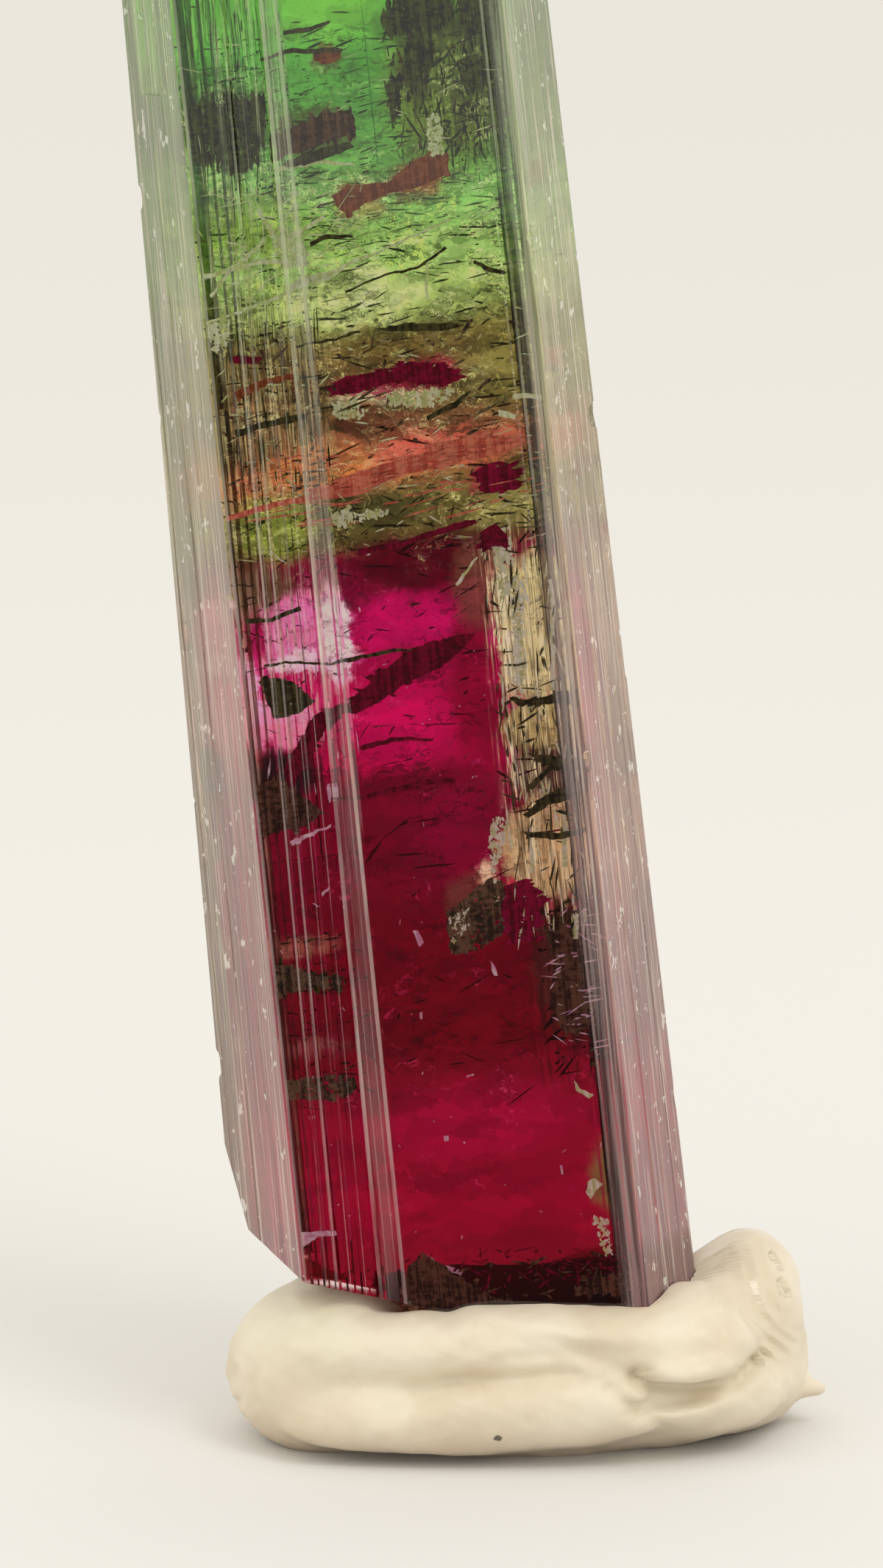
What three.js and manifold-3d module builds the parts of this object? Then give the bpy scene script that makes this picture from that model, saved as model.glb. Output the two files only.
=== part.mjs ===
// Elbaite specimen: one flattened, striated tourmaline crystal standing in a pressed lump of
// cream mineral putty. Millimetres, +Z up, front towards -Y. The origin is the middle of the
// putty's flat underside.
import * as THREE from "three";
import { mergeVertices } from "three/addons/utils/BufferGeometryUtils.js";
import Module from "manifold-3d";

const wasm = await Module();
wasm.setup();

// Crystal, in its own frame: c axis along +Z, foot at z = 0
const CRYSTAL_LENGTH = 73;
const CRYSTAL_FOOT = new THREE.Vector3(-1.4, 0.3, 1.8);
const LEAN_DEG = 5.75;
const EXTRUDE_STEPS = 6;

// How far the long edges run inwards per mm of height: x at the foot, then the drift there
const DRIFTS = [
  [-12, 0.018],
  [-10.5, 0.0185],
  [-8.2, 0.026],
  [-4, 0.022],
  [7.4, -0.0115],
  [9.6, -0.017],
  [12, -0.018],
];
const THINNING_PER_MM = 0.0016;

// Corners of the cross-section at the foot, anticlockwise from the front left
const CORNERS = [
  [-8.2, -5.2],
  [7.4, -5.5],
  [9.6, -1.2],
  [9.2, 2.3],
  [6.2, 5.3],
  [-1.2, 6.2],
  [-7, 4.8],
  [-10.1, 1.6],
  [-10.5, -0.9],
];

// Ribs of the front face: where each starts and ends, as shares of the face's width, and how
// far it stands out (mm). The two narrow pairs are the bands that run the crystal's length.
const FRONT_RIBS = [
  [0.004, 0.02, 0],
  [0.028, 0.05, -0.2],
  [0.058, 0.07, 0.05],
  [0.076, 0.09, -0.02],
  [0.096, 0.114, -0.22],
  [0.12, 0.134, 0.06],
  [0.14, 0.152, -0.02],
  [0.16, 0.198, -0.22],
  [0.204, 0.236, -0.15],
  [0.244, 0.26, 0.15],
  [0.268, 0.29, -0.06],
  [0.298, 0.314, 0.15],
  [0.324, 0.9, 0],
  [0.906, 0.93, -0.12],
  [0.936, 0.962, -0.05],
  [0.968, 0.982, -0.16],
  [0.988, 0.996, 0],
];
const SIDE_RIB_COUNTS = [9, 6, 7, 8, 7, 5, 5, 8];
const SIDE_RIB_DEPTH = 0.17;
const GROOVE_SHARE = 0.07;

// Planes that the foot broke along: a point on each and its outward direction
const FOOT_BREAKS = [
  [[-10.1, 0, 11], [-0.985, -0.04, -0.17]],
  [[-9.5, 0, 8.6], [-0.94, 0.12, -0.34]],
  [[-8.9, 0, 7.5], [-0.7, -0.12, -0.7]],
  [[-7.8, 0, 6.6], [-0.58, 0.1, -0.81]],
  [[-5, 0, 5.5], [-0.3, -0.1, -0.95]],
  [[-1.5, 0, 3.2], [-0.14, 0.12, -0.98]],
  [[3, 0, 2.1], [0.02, -0.08, -1]],
  [[8.8, 0, 2.8], [0.5, 0.1, -0.86]],
];

// Termination: three low pyramid faces round a small flat top
const PYRAMID_SLOPE_DEG = 27.3;
const PYRAMID_AZIMUTHS_DEG = [-97, 23, 143];
const PYRAMID_APEX = new THREE.Vector3(0.6, 0.4, CRYSTAL_LENGTH + 1.4);

// Growth steps, where a face is shaved back above a height: face number, the span of the face
// as shares of its width, the height it starts at, and the depth
const GROWTH_STEPS = [
  [1, 0.3, 1.05, 40.5, 0.16],
  [2, -0.05, 1.05, 31, 0.2],
  [4, 0.1, 0.7, 52, 0.25],
  [5, 0.35, 1.05, 24, 0.22],
  [6, -0.05, 0.6, 44, 0.24],
  [8, -0.05, 0.55, 58, 0.18],
  [0, 0.72, 1.02, 63, 0.14],
];

// Chips out of the long edges: corner number, height and size
const EDGE_CHIPS = [
  [2, 42.5, 0.75],
  [2, 12.4, 0.5],
  [1, 28.3, 0.45],
  [8, 15.8, 0.6],
  [8, 53.6, 0.5],
  [0, 36.5, 0.4],
  [4, 20.5, 0.8],
  [6, 34, 0.7],
  [7, 61, 0.55],
];
const CHIP_STRETCH = 1.7;
const CHIP_OUTSIDE = 0.45;

// Putty: rounded lumps pressed together, as centre, half sizes, turn about Y in degrees, and
// how far the joint with its neighbours is rounded
const PUTTY_LUMPS = [
  [[0, 0, 2.5], [11, 6.3, 3.7], 0, 1],
  [[-8.6, -0.7, 2.9], [4.2, 5.5, 3.6], 6, 1.6],
  [[-8.4, -1.6, 4.9], [3.4, 4, 1.9], -40, 1.4],
  [[9.7, 0.7, 4.75], [2.75, 3.9, 3.95], 6, 1.2],
  [[9.4, 1, 2.4], [3.2, 4, 2.5], 0, 1.2],
  [[7.4, -2.9, 2.7], [4, 3, 2.2], 0, 1],
  [[7.3, -3.2, 4.6], [3, 3, 2.7], -12, 1.4],
  [[0.2, -5.2, 5.1], [9.6, 2.1, 1.8], -1, 1.2],
  [[-0.6, -5.5, 2.4], [9.6, 2.1, 1.9], -4, 0.7],
  [[6.9, -5.4, 4.25], [2.5, 2, 0.9], -8, 0.5],
  [[-0.5, 5.9, 3.5], [9.2, 2.5, 3.4], 2, 1.4],
  [[4.2, 6.4, 5], [3.3, 1.9, 2.6], -6, 1.2],
  [[12.3, 0.3, 1.75], [1.1, 0.5, 0.42], 8, 0.5],
];
// Places pressed in by a finger, in the same form
const PUTTY_DENTS = [
  [[2.3, -8.7, 5.15], [5.1, 1.9, 0.8], -2, 0.5],
  [[7.2, -7.6, 3.05], [2.6, 1.6, 0.5], -6, 0.4],
  [[-3.5, 9.4, 4.6], [3.4, 2, 1.3], 4, 0.9],
  [[13.9, 2.4, 5.6], [1.9, 2.6, 1.4], 0, 0.7],
];
const PUTTY_HEART = new THREE.Vector3(0, 0, 2.6);
const PUTTY_SPREAD = new THREE.Vector3(12.5, 8, 5.2);
const PUTTY_SEGMENTS = [112, 36];
const PUTTY_REACH = 24;
const MARCH_STEPS = 90;
const MARCH_SHARE = 0.7;
const GRIP_GAP = 0.32;

const CUTTER_SIZE = 160;
const UP = new THREE.Vector3(0, 0, 1);

// A closed geometry as a solid
function toSolid(geometry) {
  const bare = geometry.index ? geometry.toNonIndexed() : geometry.clone();
  bare.deleteAttribute("normal");
  bare.deleteAttribute("uv");
  const merged = mergeVertices(bare, 1e-4);
  return new wasm.Manifold(
    new wasm.Mesh({
      numProp: 3,
      vertProperties: merged.attributes.position.array,
      triVerts: new Uint32Array(merged.index.array),
    }),
  );
}

// A solid as a geometry
function toGeometry(solid) {
  const mesh = solid.getMesh();
  return new THREE.BufferGeometry()
    .setAttribute("position", new THREE.BufferAttribute(mesh.vertProperties, 3))
    .setIndex(new THREE.BufferAttribute(mesh.triVerts, 1));
}

// A block that covers everything on the outward side of a plane
function beyond(point, outward) {
  const block = new THREE.BoxGeometry(CUTTER_SIZE, CUTTER_SIZE, CUTTER_SIZE);
  block.translate(0, 0, CUTTER_SIZE / 2);
  const turn = new THREE.Quaternion().setFromUnitVectors(UP, outward.clone().normalize());
  block.applyQuaternion(turn);
  block.translate(point.x, point.y, point.z);
  return toSolid(block);
}

// The same numbers between 0 and 1 on every run
function seeded(seed) {
  let state = seed;
  return () => {
    state = (state * 1664525 + 1013904223) % 4294967296;
    return state / 4294967296;
  };
}

// Random ribs across one side face, with a short slope between neighbours. The outermost two
// stay flush, so that the corners are sharp.
function sideRibs(count, random) {
  const widths = Array.from({ length: count }, () => 0.35 + random());
  const total = widths.reduce((sum, width) => sum + width, 0);
  const slope = GROOVE_SHARE / count;
  let start = 0;
  return widths.map((width, rib) => {
    const flush = rib === 0 || rib === count - 1;
    const height = flush ? 0 : -SIDE_RIB_DEPTH * random();
    const from = start + slope;
    start += width / total;
    return [from, start - slope, height];
  });
}

// A face's start, run and outward direction in the cross-section
function faceOf(number) {
  const start = new THREE.Vector2(...CORNERS[number]);
  const run = new THREE.Vector2(...CORNERS[(number + 1) % CORNERS.length]).sub(start);
  const outward = new THREE.Vector2(run.y, -run.x).normalize();
  return { start, run, outward };
}

function striatedOutline() {
  const random = seeded(7);
  const points = [];
  for (let number = 0; number < CORNERS.length; number++) {
    const { start, run, outward } = faceOf(number);
    const ribs = number ? sideRibs(SIDE_RIB_COUNTS[number - 1], random) : FRONT_RIBS;
    for (const [from, to, height] of ribs)
      for (const share of [from, to])
        points.push(start.clone().addScaledVector(run, share).addScaledVector(outward, height));
  }
  return new THREE.Shape(points);
}

// The crystal's corners moved outwards evenly, for the socket that it leaves in the putty
function plainOutline(gap) {
  const count = CORNERS.length;
  const points = CORNERS.map((corner, number) => {
    const after = faceOf(number).outward;
    const before = faceOf((number + count - 1) % count).outward;
    const away = before.clone().add(after);
    return new THREE.Vector2(...corner).addScaledVector(away, gap / (1 + before.dot(after)));
  });
  return new THREE.Shape(points);
}

// How far an edge that starts at x moves per mm of height
function driftAt(x) {
  const next = DRIFTS.findIndex(([place]) => place > x);
  const [[fromX, from], [toX, to]] = [DRIFTS[next - 1], DRIFTS[next]];
  return THREE.MathUtils.mapLinear(x, fromX, toX, from, to);
}

// Where a point of the foot's cross-section is at a given height
function risen(x, y, z) {
  return new THREE.Vector2(x + driftAt(x) * z, y * (1 - THINNING_PER_MM * z));
}

// A prism of a given outline that narrows evenly towards the top
function taperedPrism(outline, from, to, steps) {
  const prism = new THREE.ExtrudeGeometry(outline, {
    depth: to - from,
    steps,
    bevelEnabled: false,
  });
  prism.translate(0, 0, from);
  const position = prism.attributes.position;
  for (let i = 0; i < position.count; i++) {
    const z = position.getZ(i);
    const place = risen(position.getX(i), position.getY(i), z);
    position.setXYZ(i, place.x, place.y, z);
  }
  return toSolid(prism);
}

function footBreaks(solid, gap) {
  for (const [point, outward] of FOOT_BREAKS) {
    const away = new THREE.Vector3(...outward).normalize();
    const place = new THREE.Vector3(...point).addScaledVector(away, gap);
    solid = solid.subtract(beyond(place, away));
  }
  return solid;
}

function termination(solid) {
  solid = solid.subtract(beyond(new THREE.Vector3(0, 0, CRYSTAL_LENGTH), UP));
  const slope = THREE.MathUtils.degToRad(PYRAMID_SLOPE_DEG);
  for (const azimuth of PYRAMID_AZIMUTHS_DEG) {
    const turn = THREE.MathUtils.degToRad(azimuth);
    const outward = new THREE.Vector3(
      Math.sin(slope) * Math.cos(turn),
      Math.sin(slope) * Math.sin(turn),
      Math.cos(slope),
    );
    solid = solid.subtract(beyond(PYRAMID_APEX, outward));
  }
  return solid;
}

function growthSteps(solid) {
  for (const [number, from, to, height, depth] of GROWTH_STEPS) {
    const { start, run, outward } = faceOf(number);
    const middle = start.clone().addScaledVector(run, (from + to) / 2);
    const place = risen(middle.x, middle.y, height);
    const above = risen(middle.x, middle.y, CRYSTAL_LENGTH);
    const inward = -above.clone().sub(place).dot(outward) / (CRYSTAL_LENGTH - height);
    const slab = new THREE.BoxGeometry(run.length() * (to - from), 4, CRYSTAL_LENGTH);
    slab.translate(0, 2, CRYSTAL_LENGTH / 2);
    slab.rotateX(Math.atan(inward));
    slab.rotateZ(Math.atan2(outward.y, outward.x) - Math.PI / 2);
    place.addScaledVector(outward, -depth);
    slab.translate(place.x, place.y, height);
    solid = solid.subtract(toSolid(slab));
  }
  return solid;
}

function edgeChips(solid) {
  for (const [number, height, size] of EDGE_CHIPS) {
    const edge = risen(...CORNERS[number], height);
    const chip = new THREE.OctahedronGeometry(size);
    chip.scale(1, 1, CHIP_STRETCH);
    chip.rotateX(height);
    chip.rotateZ(height * 0.7);
    edge.addScaledVector(edge.clone().normalize(), size * CHIP_OUTSIDE);
    chip.translate(edge.x, edge.y, height);
    solid = solid.subtract(toSolid(chip));
  }
  return solid;
}

function crystalSolid() {
  const prism = taperedPrism(striatedOutline(), 0, CRYSTAL_LENGTH + 4, EXTRUDE_STEPS);
  return edgeChips(growthSteps(termination(footBreaks(prism, 0))));
}

function socketSolid() {
  const prism = taperedPrism(plainOutline(GRIP_GAP), -2, 20, 1);
  return footBreaks(prism, GRIP_GAP);
}

// Distance from a point to a turned ellipsoid, close enough for blending
function lumpDistance(point, [centre, half, turnDeg]) {
  const turn = THREE.MathUtils.degToRad(turnDeg);
  const p = point.clone().sub(new THREE.Vector3(...centre));
  p.applyAxisAngle(new THREE.Vector3(0, 1, 0), -turn);
  const size = new THREE.Vector3(...half);
  const once = p.clone().divide(size);
  const twice = once.clone().divide(size);
  return (once.length() * (once.length() - 1)) / Math.max(twice.length(), 1e-6);
}

function blended(a, b, reach) {
  const h = Math.max(reach - Math.abs(a - b), 0) / reach;
  return Math.min(a, b) - (h * h * reach) / 4;
}

function puttyDistance(point) {
  let distance = PUTTY_REACH;
  for (const lump of PUTTY_LUMPS)
    distance = blended(distance, lumpDistance(point, lump), lump[3]);
  for (const dent of PUTTY_DENTS)
    distance = -blended(-distance, lumpDistance(point, dent), dent[3]);
  return distance;
}

// Each point of a ball slides in along its ray until it meets the blended lumps
function puttySolid() {
  const ball = new THREE.SphereGeometry(1, ...PUTTY_SEGMENTS).rotateX(Math.PI / 2);
  const position = ball.attributes.position;
  for (let i = 0; i < position.count; i++) {
    const ray = new THREE.Vector3().fromBufferAttribute(position, i).multiply(PUTTY_SPREAD);
    ray.normalize();
    let reach = PUTTY_REACH;
    for (let step = 0; step < MARCH_STEPS; step++) {
      const place = PUTTY_HEART.clone().addScaledVector(ray, reach);
      reach -= puttyDistance(place) * MARCH_SHARE;
    }
    const place = PUTTY_HEART.clone().addScaledVector(ray, reach);
    position.setXYZ(i, place.x, place.y, place.z);
  }
  return toSolid(ball).subtract(beyond(new THREE.Vector3(), new THREE.Vector3(0, 0, -1)));
}

const tourmaline = new THREE.MeshStandardMaterial({
  color: 0xb8305c,
  roughness: 0.08,
  metalness: 0,
  transparent: true,
  opacity: 0.8,
});
const putty = new THREE.MeshStandardMaterial({ color: 0xe8dcc0, roughness: 0.55, metalness: 0 });

function named(name, solid, material) {
  const mesh = new THREE.Mesh(toGeometry(solid), material);
  mesh.name = name;
  return mesh;
}

const specimen = new THREE.Group();

const crystalHolder = new THREE.Group();
crystalHolder.position.copy(CRYSTAL_FOOT);
crystalHolder.rotation.y = -THREE.MathUtils.degToRad(LEAN_DEG);
crystalHolder.add(named("crystal", crystalSolid(), tourmaline));
crystalHolder.updateMatrix();
specimen.add(crystalHolder);

const socket = socketSolid().transform(crystalHolder.matrix.toArray());
specimen.add(named("putty", puttySolid().subtract(socket), putty));

export default specimen;
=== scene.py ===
"""Elbaite specimen: the finished crystal, its inner colour zones and inclusions, the putty that
holds it, and the stage. Lengths in the values below are millimetres. The crystal's own frame has
its long axis along +Z and its foot at z = 0; the part's frame has its origin under the putty."""

import math
import random

import bmesh
import bpy
import numpy as np
from bpy.props import FloatProperty, IntProperty, PointerProperty
from mathutils import Matrix, Vector, noise


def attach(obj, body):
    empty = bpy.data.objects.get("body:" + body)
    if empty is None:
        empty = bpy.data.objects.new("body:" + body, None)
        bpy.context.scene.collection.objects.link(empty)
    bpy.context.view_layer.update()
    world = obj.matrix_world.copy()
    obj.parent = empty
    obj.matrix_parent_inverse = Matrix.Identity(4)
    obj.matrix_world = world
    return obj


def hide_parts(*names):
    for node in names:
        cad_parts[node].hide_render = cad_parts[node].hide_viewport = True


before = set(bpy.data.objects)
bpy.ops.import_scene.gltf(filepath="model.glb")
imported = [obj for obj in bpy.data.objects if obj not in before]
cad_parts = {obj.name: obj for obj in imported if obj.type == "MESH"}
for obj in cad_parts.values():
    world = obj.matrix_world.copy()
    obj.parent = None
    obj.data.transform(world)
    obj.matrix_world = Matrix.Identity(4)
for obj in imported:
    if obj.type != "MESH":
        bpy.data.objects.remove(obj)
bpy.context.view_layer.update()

bl_info = {
    "name": "Elbaite specimen",
    "version": (1, 0, 0),
    "blender": (4, 5, 0),
    "location": "View3D > Sidebar > Specimen",
    "description": "Builds a two-coloured tourmaline crystal standing in putty",
    "category": "Add Mesh",
}

MM = 0.001
BODY = "root"

# Crystal, in its own frame
CRYSTAL_LENGTH = 73.0
SPARE_LENGTH = 4
CRYSTAL_FOOT = Vector((-1.4, 0.3, 1.8))
LEAN = math.radians(5.75)
THINNING_PER_MM = 0.0016
# How far the long edges run inwards per mm of height: x at the foot, then the drift there
DRIFT_AT = (-12, -10.5, -7.35, -6.5, -4.2, -2.95, 7.4, 9.6, 12)
DRIFTS = (0.018, 0.0185, 0.003, 0.0155, 0.0115, 0.0035, -0.0115, -0.017, -0.018)
# Corners of the cross-section at the foot, anticlockwise from the front left
CORNERS = (
    (-7.35, -5.2),
    (7.4, -5.5),
    (9.6, -1.2),
    (9.2, 2.3),
    (6.2, 5.3),
    (-1.2, 6.2),
    (-7.0, 4.8),
    (-10.1, 1.6),
    (-10.5, -0.9),
)
# The front face's left and right edges: x at the foot, and how it moves per mm of height
EDGE_LEFT = (-7.35, 0.003)
EDGE_RIGHT = (7.4, -0.0115)
# Ribs of the front face: where each starts and ends, as shares of its width, and its height
FRONT_RIBS = (
    (0.004, 0.02, 0.0),
    (0.028, 0.038, -0.05),
    (0.043, 0.053, -0.09),
    (0.06, 0.068, 0.05),
    (0.073, 0.086, -0.01),
    (0.091, 0.099, 0.05),
    (0.106, 0.12, -0.09),
    (0.126, 0.142, -0.05),
    (0.148, 0.162, -0.11),
    (0.168, 0.184, -0.07),
    (0.19, 0.206, -0.09),
    (0.214, 0.228, 0.1),
    (0.236, 0.276, 0.03),
    (0.284, 0.298, 0.1),
    (0.308, 0.9, 0.0),
    (0.907, 0.93, -0.04),
    (0.937, 0.962, -0.01),
    (0.969, 0.982, -0.06),
    (0.988, 0.996, 0.0),
)
SIDE_RIB_COUNTS = (12, 11, 10, 9, 8, 9, 9, 11)
SIDE_RIB_DEPTHS = (0.07, 0.09, 0.1, 0.03, 0.03, 0.1, 0.09, 0.06)
GROOVE_SHARE = 0.1
# Planes that the foot broke along: a point on each and its outward direction
FOOT_BREAKS = (
    ((-10.1, 0, 11), (-0.985, -0.04, -0.17)),
    ((-9.5, 0, 8.6), (-0.94, 0.12, -0.34)),
    ((-8.9, 0, 7.5), (-0.7, -0.12, -0.7)),
    ((-7.8, 0, 6.6), (-0.58, 0.1, -0.81)),
    ((-5, 0, 5.5), (-0.3, -0.1, -0.95)),
    ((-1.5, 0, 3.2), (-0.14, 0.12, -0.98)),
    ((3, 0, 2.1), (0.02, -0.08, -1)),
    ((8.8, 0, 2.8), (0.5, 0.1, -0.86)),
)
PYRAMID_SLOPE = math.radians(27.3)
PYRAMID_AZIMUTHS = (-97, 23, 143)
PYRAMID_APEX = (0.6, 0.4, CRYSTAL_LENGTH + 1.4)
# Growth steps: face, span as shares of its width, the height it starts at, depth
GROWTH_STEPS = (
    (1, 0.3, 1.05, 40.5, 0.05),
    (2, -0.05, 1.05, 31, 0.07),
    (4, 0.1, 0.7, 52, 0.25),
    (5, 0.35, 1.05, 24, 0.22),
    (6, -0.05, 0.6, 44, 0.24),
    (8, -0.05, 0.55, 58, 0.05),
    (0, 0.72, 1.02, 63, 0.14),
)
# Chips out of the long edges: corner, height, size
EDGE_CHIPS = (
    (2, 42.5, 0.75),
    (2, 12.4, 0.5),
    (1, 28.3, 0.45),
    (8, 15.8, 0.6),
    (8, 53.6, 0.5),
    (0, 36.5, 0.4),
    (4, 20.5, 0.8),
    (6, 34, 0.7),
    (7, 61, 0.55),
    (2, 49.2, 0.28),
    (2, 33.0, 0.32),
    (8, 44.0, 0.3),
    (8, 27.4, 0.26),
    (0, 55.0, 0.22),
    (1, 50.6, 0.3),
)

# Putty: rounded lumps as centre, half sizes, turn about Y in degrees, and rounding of the joint
PUTTY_LUMPS = (
    ((0, 0, 2.5), (11, 6.3, 3.7), 0, 1),
    ((-8.6, -0.7, 2.9), (4.2, 5.5, 3.6), 6, 1.6),
    ((-8.4, -1.6, 4.9), (3.4, 4, 1.9), -40, 1.4),
    ((9.7, 0.7, 4.75), (2.75, 3.9, 3.95), 6, 1.2),
    ((9.4, 1, 2.4), (3.2, 4, 2.5), 0, 1.2),
    ((7.4, -2.9, 2.7), (4, 3, 2.2), 0, 1),
    ((7.3, -3.2, 4.6), (3, 3, 2.7), -12, 1.4),
    ((0.2, -5.2, 5.1), (9.6, 2.1, 1.8), -1, 1.2),
    ((-0.6, -5.5, 2.4), (9.6, 2.1, 1.9), -4, 0.7),
    ((6.9, -5.4, 4.25), (2.5, 2, 0.9), -8, 0.5),
    ((-0.5, 5.9, 3.5), (9.2, 2.5, 3.4), 2, 1.4),
    ((4.2, 6.4, 5), (3.3, 1.9, 2.6), -6, 1.2),
    ((12.3, 0.3, 1.75), (1.1, 0.5, 0.42), 8, 0.5),
)
PUTTY_DENTS = (
    ((2.3, -8.7, 5.15), (5.1, 1.9, 0.8), -2, 0.5),
    ((7.2, -7.6, 3.05), (2.6, 1.6, 0.5), -6, 0.4),
    ((-3.5, 9.4, 4.6), (3.4, 2, 1.3), 4, 0.9),
    ((13.9, 2.4, 5.6), (1.9, 2.6, 1.4), 0, 0.7),
)
PUTTY_HEART = np.array((0, 0, 2.6))
PUTTY_SPREAD = np.array((12.5, 8, 5.2))
GRIP_GAP = 0.03
MARCH_STEPS = 46
MARCH_SHARE = 0.8
# Creases pressed into the front of the putty: width, depth, and places (x, z)
PUTTY_CREASES = (
    (0.45, 0.2, ((-2.3, 5.5), (-1.2, 6.0), (0.2, 5.8), (1.5, 5.8), (2.8, 5.0), (4.0, 4.6))),
    (0.5, 0.28, ((-5.6, 2.5), (-4.6, 3.2), (-2.9, 3.9), (-0.6, 4.1), (2.2, 4.3))),
    (0.45, 0.5, ((4.9, 4.2), (5.7, 3.7), (7.4, 3.3), (9.2, 3.5), (10.0, 4.1))),
    (0.35, 0.18, ((3.8, 3.6), (5.0, 2.5), (6.1, 1.9))),
    (0.5, 0.12, ((-3.6, 7.6), (-3.0, 6.4), (-2.9, 5.0))),
    (0.13, 0.3, ((10.9, 7.9), (11.2, 7.4))),
    (0.14, 0.3, ((11.25, 7.0), (11.6, 6.4))),
    (0.3, 0.12, ((-12.4, 3.4), (-12.0, 2.0))),
    (0.25, 0.1, ((-11.8, 4.0), (-11.5, 2.4))),
)
# Dark grit on the putty: place and radius
GRIT = (
    ((-9.4, -5.4, 6.5), 0.16),
    ((-9.1, -5.4, 6.6), 0.1),
    ((-1.0, -7.4, 1.6), 0.17),
    ((11.8, -1.5, 8.6), 0.14),
    ((8.2, -1.8, 8.6), 0.12),
    ((11.1, -2.4, 7.7), 0.22),
    ((11.5, -2.2, 6.7), 0.26),
    ((4.5, 7.9, 3.0), 0.14),
)


# Colours up the crystal: height, colour as seen
ZONE_COLOURS = (
    (0.0, (66, 34, 22)),
    (3.6, (92, 36, 28)),
    (5.6, (122, 8, 36)),
    (8.4, (136, 4, 44)),
    (13.0, (124, 8, 40)),
    (16.0, (92, 2, 18)),
    (21.0, (96, 1, 22)),
    (27.8, (104, 1, 34)),
    (28.3, (150, 3, 62)),
    (33.0, (160, 4, 72)),
    (35.0, (128, 2, 56)),
    (37.4, (104, 2, 38)),
    (38.0, (74, 60, 30)),
    (39.8, (96, 92, 50)),
    (40.6, (142, 92, 60)),
    (41.8, (176, 96, 76)),
    (42.8, (130, 84, 60)),
    (43.8, (112, 92, 58)),
    (45.6, (104, 78, 50)),
    (47.0, (96, 84, 50)),
    (47.6, (150, 164, 106)),
    (50.0, (150, 184, 116)),
    (52.0, (112, 160, 88)),
    (55.0, (88, 146, 76)),
    (58.5, (84, 156, 70)),
    (62.0, (104, 176, 74)),
    (74.0, (92, 162, 70)),
)
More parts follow.
